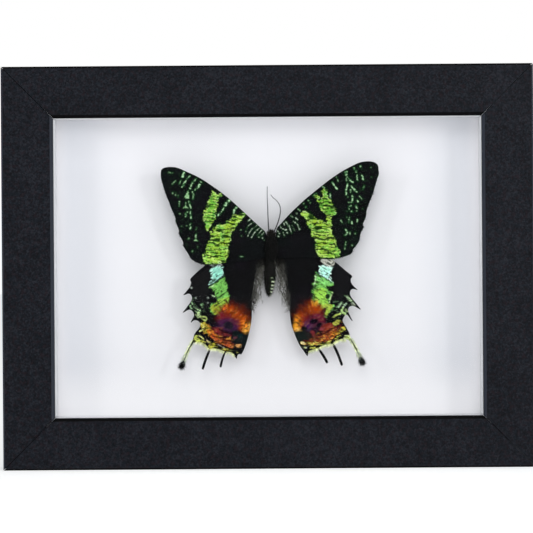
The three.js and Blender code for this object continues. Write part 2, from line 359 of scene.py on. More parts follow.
leftHindEdge = [
    (262, 251), (250, 250), (235, 251), (215, 256), (207, 263), (203, 267.2), (200, 269.5), (194, 275),
    (190.3, 279.3), (191.2, 282.5), (189.8, 287), (187.5, 290), (185.5, 292.5), (183.3, 295),
    (186, 294.5), (188.5, 293.6), (190.5, 294.4), (191.8, 296.2), (192.1, 298.5), (191.3, 301),
    (189.5, 303.7), (187, 307), (184.5, 310.3), (182.3, 312.8), (184.8, 311.9), (187.5, 310.3),
    (190, 309.7), (192.3, 310.9), (193.8, 313.4), (194.1, 315.8), (193, 318), (191.3, 321),
    (189.5, 324.4), (191.5, 322.4), (193.8, 320.4), (197, 320.4), (200, 322.8), (200.3, 325.5),
    (198.8, 328.6), (196, 331.8), (194.3, 334.5), (193.4, 337.8), (192.5, 340.5), (190, 345.8),
    (187, 351.3), (184.5, 357.5), (182.4, 362.5), (181, 366.5), (182.3, 367), (183.8, 363.2),
    (186, 358.2), (188.3, 352.2), (191.5, 346.6), (194.5, 342.8), (198.5, 341.8), (203.5, 343.4),
    (206.6, 346.3), (208.4, 349.3), (207, 353), (204.9, 358.2), (203.3, 362.8), (201.8, 368.2),
    (202.6, 369.3), (203.8, 369.2), (205.8, 363.5), (207.3, 359), (209.4, 353.5), (211, 349.8),
    (214, 348.8), (218.5, 349.4), (222.3, 350.6), (224, 352), (222.6, 355.3), (221, 359.8),
    (219.6, 366), (220.4, 367), (221.6, 366.9), (223.2, 360.4), (224.6, 355.9), (226.5, 352.6),
    (230, 352.5), (233, 354), (235, 356.6), (236.7, 358.8), (237.5, 355.6), (239, 354), (241.2, 354.2),
    (243, 351.6), (245, 347), (247, 341), (248.6, 335), (249.8, 330), (251, 324), (251.8, 317),
    (252, 309), (252.3, 301), (253, 292), (254, 284), (255.3, 277), (257, 270), (259, 264),
    (261.5, 258)]
rightHindEdge = [
    (281, 251), (293, 250), (315, 252), (330, 258.5), (336, 262.6), (341.3, 267), (346.3, 271.2),
    (352, 276.1), (350.8, 278.6), (350.7, 281.5), (352, 284.3), (354.6, 287.2), (358.2, 290.4),
    (354.8, 289.2), (352.2, 289.1), (350.4, 290.5), (349.8, 293), (350.6, 296.2), (353, 299.6),
    (356.6, 304), (359, 307), (361, 310), (357.5, 308), (354, 306.2), (350.8, 306.1), (348.7, 307.6),
    (348, 310.2), (349, 313.5), (350.9, 317.6), (353.2, 322), (350.4, 319.2), (347.8, 315.6),
    (346, 314.6), (344, 316.6), (342.6, 320), (343.6, 323.2), (346, 327), (347.6, 330), (349, 332.6),
    (350.3, 337), (352.5, 341.5), (355.6, 346.3), (358.3, 351.8), (360.8, 357.2), (363, 362.3),
    (362.2, 363), (359.7, 358), (357, 352.6), (354.3, 347.6), (351, 342.6), (347.5, 339.6),
    (343, 338.8), (338, 340.2), (333.8, 342.4), (335.8, 346.5), (338.2, 351.4), (340.5, 357.4),
    (342.8, 364), (342.2, 365.2), (340.8, 365.3), (338.1, 358.2), (335.7, 352.4), (333.4, 347.6),
    (331.2, 344), (326, 344.6), (319.5, 347.4), (321.4, 350.5), (324.1, 354.5), (328.1, 361.6),
    (327.4, 362.8), (326.1, 363), (321.9, 355.9), (319.2, 351.8), (317.2, 348.8), (313.5, 349.8),
    (309.5, 351.3), (308.3, 353.6), (307.4, 356.2), (305.8, 354.2), (304.2, 351.7), (300.9, 347.3),
    (298.5, 343.2), (296, 337.6), (293.8, 332), (291.8, 326), (290.5, 320), (289.9, 313), (289.6, 304),
    (288.2, 295), (286, 286), (283.4, 278), (280.6, 271), (278.6, 264)]

# Veins, base to margin
leftForeVeins = [
    [(266, 234), (240, 212), (212, 190.5), (190, 178.5)],
    [(266, 237), (243, 217.5), (222, 204), (196, 186.5), (168, 172.5)],
    [(222, 204), (192, 190), (164.5, 180)], [(221, 209), (192, 200), (167, 195)],
    [(220, 214), (194, 211.5), (173, 210)], [(221, 219.5), (196, 223.5), (177, 226)],
    [(224, 224), (202, 234), (183.5, 243)], [(233, 228.5), (210, 244), (192, 257)],
    [(266, 242), (243, 233), (224, 224), (221, 219.5), (220, 214), (221, 209), (222, 204)],
    [(266, 249), (237, 254), (207, 263.5)]]
leftHindVeins = [
    [(259, 258), (230, 262), (204, 269), (190.5, 280)],
    [(257, 264), (228, 272), (202, 284), (184, 294.6)], [(231, 281), (205, 296), (183, 312.4)],
    [(232, 288), (210, 305), (191, 323)], [(235, 294), (212, 320), (195, 339), (181.5, 366)],
    [(239, 299), (222, 325), (209.5, 348.5), (203, 368)],
    [(244, 302), (234, 330), (225.3, 352), (220.6, 366)],
    [(257, 268), (250, 300), (244, 330), (237, 358)],
    [(257, 264), (240, 274), (231, 281), (232, 288), (235, 294), (239, 299), (244, 302), (252, 285),
     (257, 268)]]


def mirrored(veins, lean):
    # the other side's veins, eased to its own outline
    return [[(2 * bodyLine - u, v + lean * (bodyLine - u)) for u, v in line] for line in veins]


rightForeVeins = mirrored(leftForeVeins, -0.045)
rightHindVeins = mirrored(leftHindVeins, -0.02)

wingSkin = {
    "mesh": 0.5,                # drawing units from point to point
    "rowStep": 0.866,           # of that, from row to row
    "rimGap": 0.55,             # of that, kept free along the outline
    "thickness": 0.16,
    "thinEdge": 0.8,            # drawing units over which the edge thins out
    "tipLift": 1.6,             # the tips stand this far in front of the roots
    "halfSpan": 44,
    "wave": 0.3,
    "fold": 0.16,               # the skin sags between the veins
    "foldReach": 3.2,
    "foldEdge": 5,
    "dents": ((0.05, 9, 11), (0.03, 4, 12)),    # depth, size, seed
    "veinHeight": 0.07,
    "veinReach": 0.42,
    "veinEdge": 1.5}


def wingRise(x, z):
    out = np.abs(x) / wingSkin["halfSpan"]
    wave = np.sin((z - midZ) / 9 + np.abs(x) / 14)
    return -wingSkin["tipLift"] * out ** 1.4 - wingSkin["wave"] * wave


def evenPath(path, step):
    p = closed(path)
    run = np.concatenate([[0], np.cumsum(np.hypot(*np.diff(p, axis=0).T))])
    at = np.linspace(0, run[-1], int(run[-1] / step), endpoint=False)
    return np.stack([np.interp(at, run, p[:, 0]), np.interp(at, run, p[:, 1])], 1)


def innerSpots(rim, step):
    # a grid of even triangles inside the outline
    low, high = rim.min(0), rim.max(0)
    u, v = np.meshgrid(np.arange(low[0], high[0], step),
                       np.arange(low[1], high[1], step * wingSkin["rowStep"]))
    u[1::2] += step / 2
    spots = np.stack([u.ravel(), v.ravel()], 1)
    spots = spots[insidePath(spots, rim)]
    return spots[distanceToPath(spots, closed(rim)) > step * wingSkin["rimGap"]]


def wingSheet(name, edge, veins, depthY):
    # closed sheet: front and back skins meet on the outline
    skin = wingSkin
    step = skin["mesh"]
    rim = evenPath(smoothClosed(edge), step)
    flat = np.vstack([rim, innerSpots(rim, step)])
    loop = list(range(len(rim)))
    verts, _, faces, _, _, _ = delaunay_2d_cdt([Vector(p) for p in flat.tolist()], [], [loop], 1, 1e-6)
    spots = np.array([tuple(v) for v in verts])
    faces = np.array([f[:] for f in faces], int)
    toRim = distanceToPath(spots, closed(rim))
    onRim = toRim < 1e-4
    toVein = np.full(len(spots), 1e9)
    for vein in veins:
        toVein = np.minimum(toVein, distanceToPath(spots, smoothOpen(vein)))

    x, z = plan(spots).T
    sag = -skin["fold"] * (1 - np.exp(-(toVein / skin["foldReach"]) ** 2)) * clamped(toRim / skin["foldEdge"])
    for depth, size, seed in skin["dents"]:
        sag = sag + depth * grain(spots, size, seed)
    middle = depthY + wingRise(x, z) + sag
    half = skin["thickness"] / 2 * clamped(toRim / skin["thinEdge"]) ** 0.5
    ridge = skin["veinHeight"] * np.exp(-(toVein / skin["veinReach"]) ** 2) * clamped(toRim / skin["veinEdge"])
    inner = np.flatnonzero(~onRim)
    front = np.stack([x, middle - half - ridge, z], 1)
    back = np.stack([x, middle + half + ridge, z], 1)[inner]

    backIndex = np.arange(len(spots))
    backIndex[inner] = len(spots) + np.arange(len(inner))
    a, b, c = (np.stack([x, z], 1)[faces[:, i]] for i in range(3))
    turn = (b[:, 0] - a[:, 0]) * (c[:, 1] - a[:, 1]) - (b[:, 1] - a[:, 1]) * (c[:, 0] - a[:, 0])
    faces = np.where((turn > 0)[:, None], faces, faces[:, ::-1])
    keep = ~np.all(onRim[faces], axis=1)
    both = np.vstack([faces[keep], backIndex[faces[:, ::-1]][keep]])
    obj = meshObject(name, np.vstack([front, back]) * mm, both)
    return obj, spots, np.concatenate([np.arange(len(spots)), inner]), toVein


def meshObject(name, points, faces):
    mesh = bpy.data.meshes.new(name)
    corners = faces.shape[1]
    mesh.vertices.add(len(points))
    mesh.vertices.foreach_set("co", np.asarray(points, np.float32).ravel())
    mesh.loops.add(faces.size)
    mesh.loops.foreach_set("vertex_index", faces.astype(np.int32).ravel())
    mesh.polygons.add(len(faces))
    mesh.polygons.foreach_set("loop_start", np.arange(0, faces.size, corners, dtype=np.int32))
    mesh.update(calc_edges=True)
    mesh.validate()
    mesh.polygons.foreach_set("use_smooth", np.ones(len(mesh.polygons), bool))
    obj = bpy.data.objects.new(name, mesh)
    bpy.context.collection.objects.link(obj)
    return obj


def storeColour(obj, name, colour):
    layer = obj.data.color_attributes.new(name, "FLOAT_COLOR", "POINT")
    solid = np.hstack([colour, np.ones((len(colour), 1))])
    layer.data.foreach_set("color", solid.astype(np.float32).ravel())


def storeValue(obj, name, values):
    layer = obj.data.attributes.new(name, "FLOAT", "POINT")
    layer.data.foreach_set("value", np.asarray(values, np.float32))


# Green bands of the forewings
leftMainBand = [
    (243, 213.2), (245, 214.5), (243, 216.8), (242, 219.3), (239, 221.5), (236.5, 224), (235, 227),
    (233.5, 230), (232.2, 232.5), (231, 235), (230.5, 238), (230, 241), (229, 244), (228.5, 247),
    (228, 250), (228.2, 253), (227.5, 256), (226.8, 259), (225.5, 261.3), (222, 262.8), (217, 263.6),
    (212, 263.8), (207, 263.5), (204.5, 261.5), (203.5, 258.5), (203.8, 255.5), (205, 252.5),
    (207, 250.8), (207, 248), (206.8, 245.5), (208.3, 242.5), (209.8, 240), (211, 237), (210.8, 234.5),
    (210.3, 231.8), (212.8, 230.5), (213.5, 227.8), (216, 226), (219, 224.5), (221.5, 224.3),
    (224, 224.8), (226, 223.3), (227, 220.8), (230, 219.5), (231.5, 217.5), (233, 216), (236, 215.5),
    (238, 214.8), (240.5, 213.3)]
leftOuterBand = [
    (213, 190.3), (214.5, 191.5), (216, 193.3), (218.5, 194), (220.5, 194), (221.8, 195.8),
    (219.8, 197.6), (218.5, 200), (217.8, 203), (217.3, 206), (216.3, 209), (215.7, 212), (216.3, 215),
    (215.5, 217.5), (214, 220), (212.5, 222.5), (211, 225), (209.5, 227.5), (208.3, 229.8),
    (206.8, 229.2), (206, 226.5), (205.3, 223.5), (204.3, 221), (203, 219), (204.3, 214.5), (205, 211),
    (207, 208.5), (207.8, 205), (208, 202), (209.2, 199), (210.3, 196.5), (212, 193.5), (212.3, 191)]
rightMainBand = [
    (300.5, 213.9), (301.5, 212.4), (303.6, 211.3), (307.1, 211.2), (310.7, 213.4), (313.6, 216.5),
    (315, 219), (317.3, 220.6), (319, 219.6), (321, 219.6), (324, 221.8), (326.4, 223), (327.2, 220.5),
    (325.6, 218.9), (327, 217.6), (329.5, 216.6), (330.6, 218.5), (331, 221.4), (331.4, 224.6),
    (331.1, 228.6), (331.5, 232), (332.4, 235.7), (334.4, 239), (335.8, 242), (336.5, 244.6),
    (337.5, 247.3), (339, 250.3), (339.9, 252.9), (339.4, 255.4), (336.5, 257.1), (333, 258),
    (326.8, 257.9), (320.8, 256.6), (317.6, 254.6), (316.6, 251.2), (316.2, 248.8), (314.8, 247),
    (316, 245), (316.1, 241.6), (315, 238.6), (312.6, 236.6), (311.4, 234), (312.2, 231.2),
    (310.9, 228.9), (308.6, 226.4), (307.3, 223.6), (306, 220.6), (304, 218), (301.6, 216)]
rightOuterBand = [
    (323.4, 188.3), (325.2, 189.6), (326.6, 192.4), (327.4, 195.5), (328.4, 198), (330.4, 199.6),
    (331.4, 201.8), (333, 205), (334.8, 208.4), (335.9, 211.6), (336, 214.2), (333.6, 215.5),
    (330.6, 216.4), (326.5, 215.2), (323.6, 213), (321.8, 210.4), (320.4, 207.2), (319.4, 204.4),
    (317.6, 201.2), (315.8, 198.4), (314.3, 195.9), (316, 194.6), (318.2, 195.9), (320.4, 198),
    (322.2, 198), (323, 195.8), (322.3, 193), (322, 190.2)]

# dark wavy lines across a band: (points, width)
leftBandLines = [
    ([(206.5, 243.6), (212, 242.6), (217, 244.4), (222, 242.8), (226, 244), (230, 242.8)], 1.3),
    ([(203, 256.6), (208, 255.2), (213, 256.8), (218, 255.4), (223, 256.6), (228, 255.4)], 1.1),
    ([(209, 229.6), (216, 228.4), (223, 229.8), (234, 228.4)], 0.7),
    ([(210, 232.6), (218, 231.6), (225, 233), (233, 231.8)], 0.7),
    ([(209, 237.4), (216, 236.2), (224, 237.6), (231, 236.4)], 0.7),
    ([(208, 240.4), (216, 239.6), (223, 240.8), (230, 239.4)], 0.6),
    ([(205, 249.6), (212, 248.6), (219, 250), (228, 248.8)], 0.7),
    ([(204, 253.4), (211, 252.4), (220, 253.4), (228, 252.4)], 0.6),
    ([(208, 197.8), (214, 196.8), (221, 197.8)], 0.8),
    ([(206, 205.4), (212, 204.6), (218, 205.6)], 0.8),
    ([(203, 213.4), (209, 212.4), (217, 213.8)], 0.9),
    ([(203, 218.2), (209, 217.4), (216, 218.6)], 0.8), ([(204, 221.8), (209, 221), (214, 222)], 0.7),
    ([(229, 221), (234, 219.6), (240, 220.6)], 0.7)]
rightBandLines = [
    ([(306, 220.8), (310, 219.4), (314.5, 219.2)], 1.3),
    ([(309, 225), (313, 223.6), (317, 224.4)], 0.9),
    ([(313, 226), (317, 223), (320, 223.4), (323, 222.6), (327, 224.6)], 0.8),
    ([(318, 228.4), (321.5, 228)], 1.2), ([(314, 229.6), (317.4, 229.2)], 0.9),
    ([(313.5, 237), (318, 238.4), (324, 239.4), (330, 238.4), (334, 239)], 1.5),
    ([(317, 243.6), (322, 243.2), (327, 243.6), (332, 244.4), (337, 243.8)], 1.3),
    ([(317, 249.4), (322, 249.2), (326, 250.4), (332, 251), (338.5, 251)], 1.1),
    ([(317, 247), (324, 246.6), (330, 247.4), (337, 247)], 0.5),
    ([(319, 254), (327, 253.4), (338, 254.2)], 0.5), ([(314, 232.4), (321, 232), (331, 232.6)], 0.5),
    ([(313, 235), (322, 235.4), (332, 235)], 0.5), ([(318, 200), (323, 198.6), (328, 199.4)], 0.8),
    ([(320, 203.6), (326, 202.6), (332, 203.6)], 0.9),
    ([(321, 208.8), (326, 209), (331, 208), (335, 208.6)], 1.1),
    ([(323, 211.8), (329, 211.4), (335, 211)], 0.8),
    ([(318.6, 204.6), (324, 205.8), (330, 205.2)], 0.5), ([(326, 216), (330, 215.2)], 1.0)]

# pale dashes between the bands: (points, width, how bright)
leftDashes = [
    ([(228.7, 200.8), (227.6, 202.4)], 3.6, 1), ([(226.2, 203.8), (225, 205.6)], 3.9, 1),
    ([(223.8, 208.2), (222.8, 210.2)], 2.4, 1), ([(221.6, 211.6), (221.2, 212.2)], 1.4, 0.8),
    ([(219.9, 213.9), (217.6, 215.2)], 2.2, 1), ([(236.8, 207.2), (235.5, 208.6)], 2.4, 1),
    ([(234.1, 210.4), (233.6, 213)], 2.2, 1), ([(169, 172.8), (172.8, 173.2)], 1.8, 0.5),
    ([(184, 172.5), (182.8, 177)], 2.8, 1), ([(190, 176), (187.2, 179.2)], 1.4, 0.9),
    ([(196.5, 179), (194.3, 181.4)], 1.8, 0.9), ([(200.5, 182), (202.5, 183.2)], 1.6, 0.9),
    ([(186, 181), (182.2, 187.2)], 1.6, 0.9), ([(181, 180.8), (179.8, 183.5)], 1.4, 0.8),
    ([(175.5, 181.5), (172.5, 184.2)], 1.5, 0.7), ([(192.8, 182.5), (190.8, 187)], 1.6, 0.9),
    ([(200, 184.8), (197.3, 188)], 2.4, 1), ([(196, 189.2), (195, 190.6)], 1.6, 0.9),
    ([(190.2, 188.8), (190.3, 188.9)], 2, 0.9),
    ([(192.5, 192.3), (193.6, 196), (192.7, 199.2)], 1.6, 0.9),
    ([(173.3, 192.5), (172.8, 194)], 1.3, 0.6), ([(175.8, 193.5), (175.6, 195.5)], 1, 0.6),
    ([(178.5, 195.5), (178.2, 197)], 1.2, 0.5), ([(179.5, 202), (179.3, 206)], 1.5, 0.8),
    ([(185.8, 202), (185.8, 206)], 1.1, 0.8), ([(189, 201.5), (189.5, 204)], 2.4, 0.9),
    ([(189.8, 204), (191, 208.3)], 1.5, 0.9), ([(188, 211.8), (185.9, 213.8)], 1.3, 0.9),
    ([(185.9, 213.8), (186, 217)], 1.4, 0.9), ([(190.5, 211.5), (191.3, 218.5)], 1.6, 0.9),
    ([(180, 213.8), (180.1, 213.9)], 1.8, 0.5), ([(191, 223.5), (190, 225.5)], 1.6, 0.8),
    ([(190.8, 227), (190.5, 229)], 1.8, 0.8), ([(196.8, 228), (196, 230)], 1.6, 0.5),
    ([(196.2, 234.5), (195.8, 238.5)], 1.5, 0.7), ([(188.6, 239), (188.7, 239.1)], 2.8, 0.5),
    ([(192.7, 251.3), (192.8, 251.4)], 2.4, 0.6), ([(197.8, 247), (197.9, 247.1)], 2, 0.35),
    ([(181.5, 226.5), (181.6, 226.6)], 2, 0.35), ([(186.5, 226), (186.6, 226.1)], 2, 0.35),
    ([(250, 219.5), (248.3, 221.2)], 1.5, 0.8),
    ([(253.8, 222.3), (250, 224.5), (247, 228), (245.8, 232)], 0.9, 0.75),
    ([(257, 225.5), (252.5, 229), (249.8, 232), (248, 236)], 1.1, 0.75),
    ([(259.8, 228), (256.5, 230.5), (254, 233.5), (251.8, 237.5)], 1.3, 0.75),
    ([(262.3, 229.8), (259.5, 232.5), (257.5, 235)], 0.9, 0.7),
    ([(264.3, 232), (262, 235), (259.5, 237)], 1, 0.7), ([(262.5, 238), (262.6, 238.1)], 1.6, 0.6),
    ([(264.5, 240), (264.6, 240.1)], 1.6, 0.6), ([(258.8, 236.8), (258.9, 236.9)], 1.4, 0.6),
    ([(240.8, 230), (240.9, 230.1)], 1.6, 0.35), ([(241.2, 236), (241.3, 236.1)], 1.6, 0.3),
    ([(240, 256.7), (243.2, 256.5)], 1.2, 0.45)]
leftWedges = [
    [(188.5, 190.8), (186, 194.5), (184.5, 197.3), (187, 198.8), (189.3, 198.5), (189, 195)],
    [(185.8, 205.5), (183.2, 208.2), (188.3, 208.2)], [(195.6, 238.6), (194, 240.8), (198, 241)]]
rightDashes = [
    ([(332.3, 182.6), (334.2, 185.8), (336.8, 189)], 1.4, 0.95),
    ([(336.3, 177.2), (338, 181.6)], 1.2, 0.6), ([(329.8, 194), (330.4, 198.6)], 1.5, 0.95),
    ([(322.4, 186.8), (324.4, 188)], 1.6, 0.8), ([(303.4, 203.6), (303.5, 203.7)], 1.6, 0.9),
    ([(305.8, 207.1), (305.9, 207.4)], 2.2, 1), ([(308, 200.6), (308.1, 200.7)], 1.5, 0.6),
    ([(309.8, 202.6), (309.9, 202.7)], 1.5, 0.6), ([(313, 195.6), (316, 193.4)], 1.2, 0.7),
    ([(346.2, 172.4), (346, 174.6)], 3.2, 1),
    ([(347, 177.2), (349.4, 179.4), (352.6, 182.8)], 1.8, 0.95),
    ([(346, 178.6), (346.4, 180.8)], 1.4, 0.7), ([(353.8, 168), (354.3, 169.4)], 2, 0.9),
    ([(356, 171.4), (356.1, 172.2)], 2.2, 0.9), ([(360, 167), (360.1, 167.4)], 2.1, 0.95),
    ([(370.7, 167.8), (370.8, 167.9)], 2, 0.5),
    ([(357, 175.6), (356.6, 178.6), (357.8, 181)], 1.7, 0.85), ([(361.6, 176), (363.2, 180)], 1.8, 0.9),
    ([(371.4, 177.6), (371.5, 177.7)], 1.8, 0.4), ([(363.8, 186), (362.6, 189.6)], 1.4, 0.7),
    ([(347.4, 183.4), (346.8, 187.4), (345.8, 190.6), (346, 194.4)], 1.5, 0.9),
    ([(351.5, 186.4), (354, 189.4), (356.4, 191.8)], 1.8, 0.95),
    ([(350.2, 190), (350.6, 192.6)], 1.4, 0.7),
    ([(352.2, 196.2), (352.4, 199), (351.8, 202.2)], 2, 0.9),
    ([(348.6, 202.4), (352.6, 202.4)], 1.3, 0.75), ([(347.8, 196.4), (347.9, 196.9)], 1.3, 0.6),
    ([(357, 200), (357.8, 201.6)], 2, 0.95), ([(359.4, 196.4), (361.6, 199)], 1.4, 0.65),
    ([(350.8, 206), (348.8, 207.2), (349, 209.4)], 1.6, 0.8),
    ([(351.4, 211.4), (352.4, 211.9)], 2, 0.9), ([(355.4, 206.2), (357, 208.2)], 2.4, 0.95),
    ([(356.4, 211), (356.5, 211.1)], 1.5, 0.5), ([(347, 211.4), (347.1, 211.5)], 1.5, 0.45),
    ([(362.6, 209), (362.7, 209.1)], 1.6, 0.4), ([(340.8, 220.4), (342.4, 223.4)], 1.4, 0.5),
    ([(349.4, 217.2), (348.6, 220), (348.4, 222.4)], 1.5, 0.7),
    ([(351.4, 222), (351.6, 223.4)], 1.8, 0.85), ([(357, 219.6), (357.1, 222)], 1.7, 0.8),
    ([(346, 216), (346.8, 218)], 1, 0.5),
    ([(345.2, 229.4), (347.2, 231.6), (347, 233.4), (344.8, 235.2)], 1.8, 0.85),
    ([(349.8, 232), (349.7, 234)], 1.4, 0.55), ([(355, 233), (355.1, 233.8)], 1.9, 0.55),
    ([(345.9, 242), (345, 246), (344.6, 249.4)], 1.4, 0.65), ([(352, 245.2), (352.1, 245.6)], 2, 0.55),
    ([(276.8, 230.4), (279.5, 233.6)], 1, 0.75), ([(278, 236), (278.3, 236.2)], 1.8, 0.8),
    ([(280.4, 226.6), (282.8, 229), (286.4, 229.8)], 1.2, 0.75),
    ([(283, 232.4), (284.6, 236)], 1.2, 0.7), ([(286.6, 232.4), (288, 233.8)], 1, 0.6),
    ([(285.6, 221.8), (288.6, 226), (290.4, 229.4), (291.4, 233)], 1.3, 0.8),
    ([(288.2, 225.6), (288.8, 226.2)], 1.9, 0.85),
    ([(293.5, 221.6), (297.2, 224.6), (299.4, 229.2)], 1.4, 0.8),
    ([(295.6, 217.9), (297.4, 219.8)], 1.4, 0.8), ([(290.6, 215.8), (292.6, 217.4)], 1.5, 0.7),
    ([(291.8, 225), (294.4, 230.4)], 0.8, 0.5), ([(298, 209), (300, 210.6)], 1.2, 0.4),
    ([(283.6, 223.4), (284.6, 225)], 1, 0.6), ([(296, 213), (297, 214)], 1.6, 0.35)]

foreWing = {
    "ground": (9, 10, 11), "violetGloss": (17, 13, 20), "greenGloss": (10, 18, 17),
    "greyRows": (27, 29, 32), "dust": (30, 54, 34),
    "dustFrom": 52,             # drawing units out from the middle
    "bandShade": (10, 38, 12), "band": (138, 183, 60), "bandYellow": (160, 192, 56),
    "bandLeaf": (96, 182, 80), "bandBrown": (134, 124, 62), "bandOuter": (86, 168, 56),
    "bandFoot": (142, 202, 68), "bandLight": (198, 232, 116), "bandRim": (196, 222, 158),
    "rowDark": (26, 66, 14), "rowDarkest": (12, 34, 8), "speckDark": (22, 44, 12),
    "wavyLine": (16, 36, 10), "markShade": (8, 40, 14),
    "dash": ((62, 108, 66), (176, 214, 168)),           # rim and middle of a dash
    "rootDash": ((84, 112, 82), (200, 214, 194)), "rootReach": 27,
    "wedge": ((98, 150, 92), (166, 198, 156)), "middle": 271}


def foreWingPaint(spots, mainBand, outerBand, bandLines, dashes, wedges=()):
    look = foreWing
    paint = Paint(spots, look["ground"])
    paint.blend(0.5 * clamped(grain(spots, 14, 21)), look["violetGloss"])
    paint.blend(0.5 * clamped(grain(spots, 11, 22)), look["greenGloss"])
    paint.blend(0.4 * clamped(rows(spots, 23, 6, 2.4, 0.8)), look["greyRows"])
    # faint green dust over the outer half and along the front edge
    outward = clamped((np.abs(spots[:, 0] - look["middle"]) - look["dustFrom"]) / 30)
    paint.blend(outward * 0.5 * clamped(grain(spots, 1.3, 24) * 3 - 1.4), look["dust"])

    row = rows(spots, 36, 5)
    speck = grain(spots, 1.0, 37)
    outerOnly = area(spots, outerBand)
    band = np.maximum(area(spots, mainBand), outerOnly)
    torn = band + 1.25 * row + 0.7 * speck
    paint.lay(torn + 1.0, look["bandShade"], soft=1.6, amount=0.85, ragged=0)
    paint.lay(torn, look["band"], soft=0.7, ragged=0)
    inBand = ramp(torn, 0.7)
    patch = grain(spots, 4.2, 31)
    paint.blend(inBand * clamped(patch * 1.6) * 0.7, look["bandYellow"])
    paint.blend(inBand * clamped(-patch * 1.6) * 0.7, look["bandLeaf"])
    paint.blend(inBand * clamped(grain(spots, 2.2, 32) * 2 - 0.7) * 0.55, look["bandBrown"])
    paint.blend(inBand * ramp(outerOnly - 1, 2) * 0.7, look["bandOuter"])
    low = clamped((spots[:, 1] - 240) / 14)
    paint.blend(inBand * low * 0.4, look["bandFoot"])
    paint.blend(inBand * clamped(rows(spots, 33, 4, 2.6, 1.0) * 2.8 - 0.5) * 0.8, look["bandLight"])
    rim = ramp(torn, 0.7) - ramp(torn - 1.1, 0.9)
    paint.blend(rim * clamped(grain(spots, 1.4, 40) * 1.6 + 0.2) * 0.7, look["bandRim"])
    darkRows = rows(spots, 34, 5, 7.0, 1.25)
    paint.blend(inBand * clamped(darkRows * 3.6 - 1.1) * 0.9, look["rowDark"])
    paint.blend(inBand * clamped(darkRows * 4.2 - 2.2) * 0.8, look["rowDarkest"])
    paint.blend(inBand * clamped(grain(spots, 0.8, 38) * 4 - 1.9) * 0.85, look["speckDark"])

    wander = 0.7 * grain(spots, 1.6, 35)
    for points, width in bandLines:
        depth = np.minimum(stroke(spots, points, width * 1.1) + wander, band + 0.5)
        paint.lay(depth, look["wavyLine"], soft=0.7, amount=0.92)
    flicker = clamped(0.55 + 1.5 * grain(spots, 1.3, 39))
    for points, width, bright in dashes:
        depth = stroke(spots, points, width * 0.74) + 0.4 * speck
        atRoot = abs(points[0][0] - look["middle"]) < look["rootReach"]
        outer, inner = look["rootDash"] if atRoot else look["dash"]
        paint.lay(depth + 1.1, look["markShade"], soft=1.4, amount=0.75 * bright)
        paint.lay(depth, outer, soft=0.8, amount=bright * 0.8)
        paint.lay(depth - 0.12, inner, soft=0.6, amount=bright * flicker)
    for points in wedges:
        depth = area(spots, points, False)
        outer, inner = look["wedge"]
        paint.lay(depth + 1.0, look["markShade"], soft=1.4, amount=0.7)
        paint.lay(depth + 0.3 * speck, outer, amount=0.9)
        paint.lay(depth + 0.3 * speck, inner, amount=0.75 * flicker)
    return paint


# Marks of the hindwings: (kind, colour, amount, shape), laid in this order
turquoise = (160, 232, 208)
turquoiseRim = (204, 242, 228)
leafGreen = (110, 174, 82)
yellowGreen = (156, 190, 66)
olive = (150, 156, 44)
ink = (12, 12, 13)

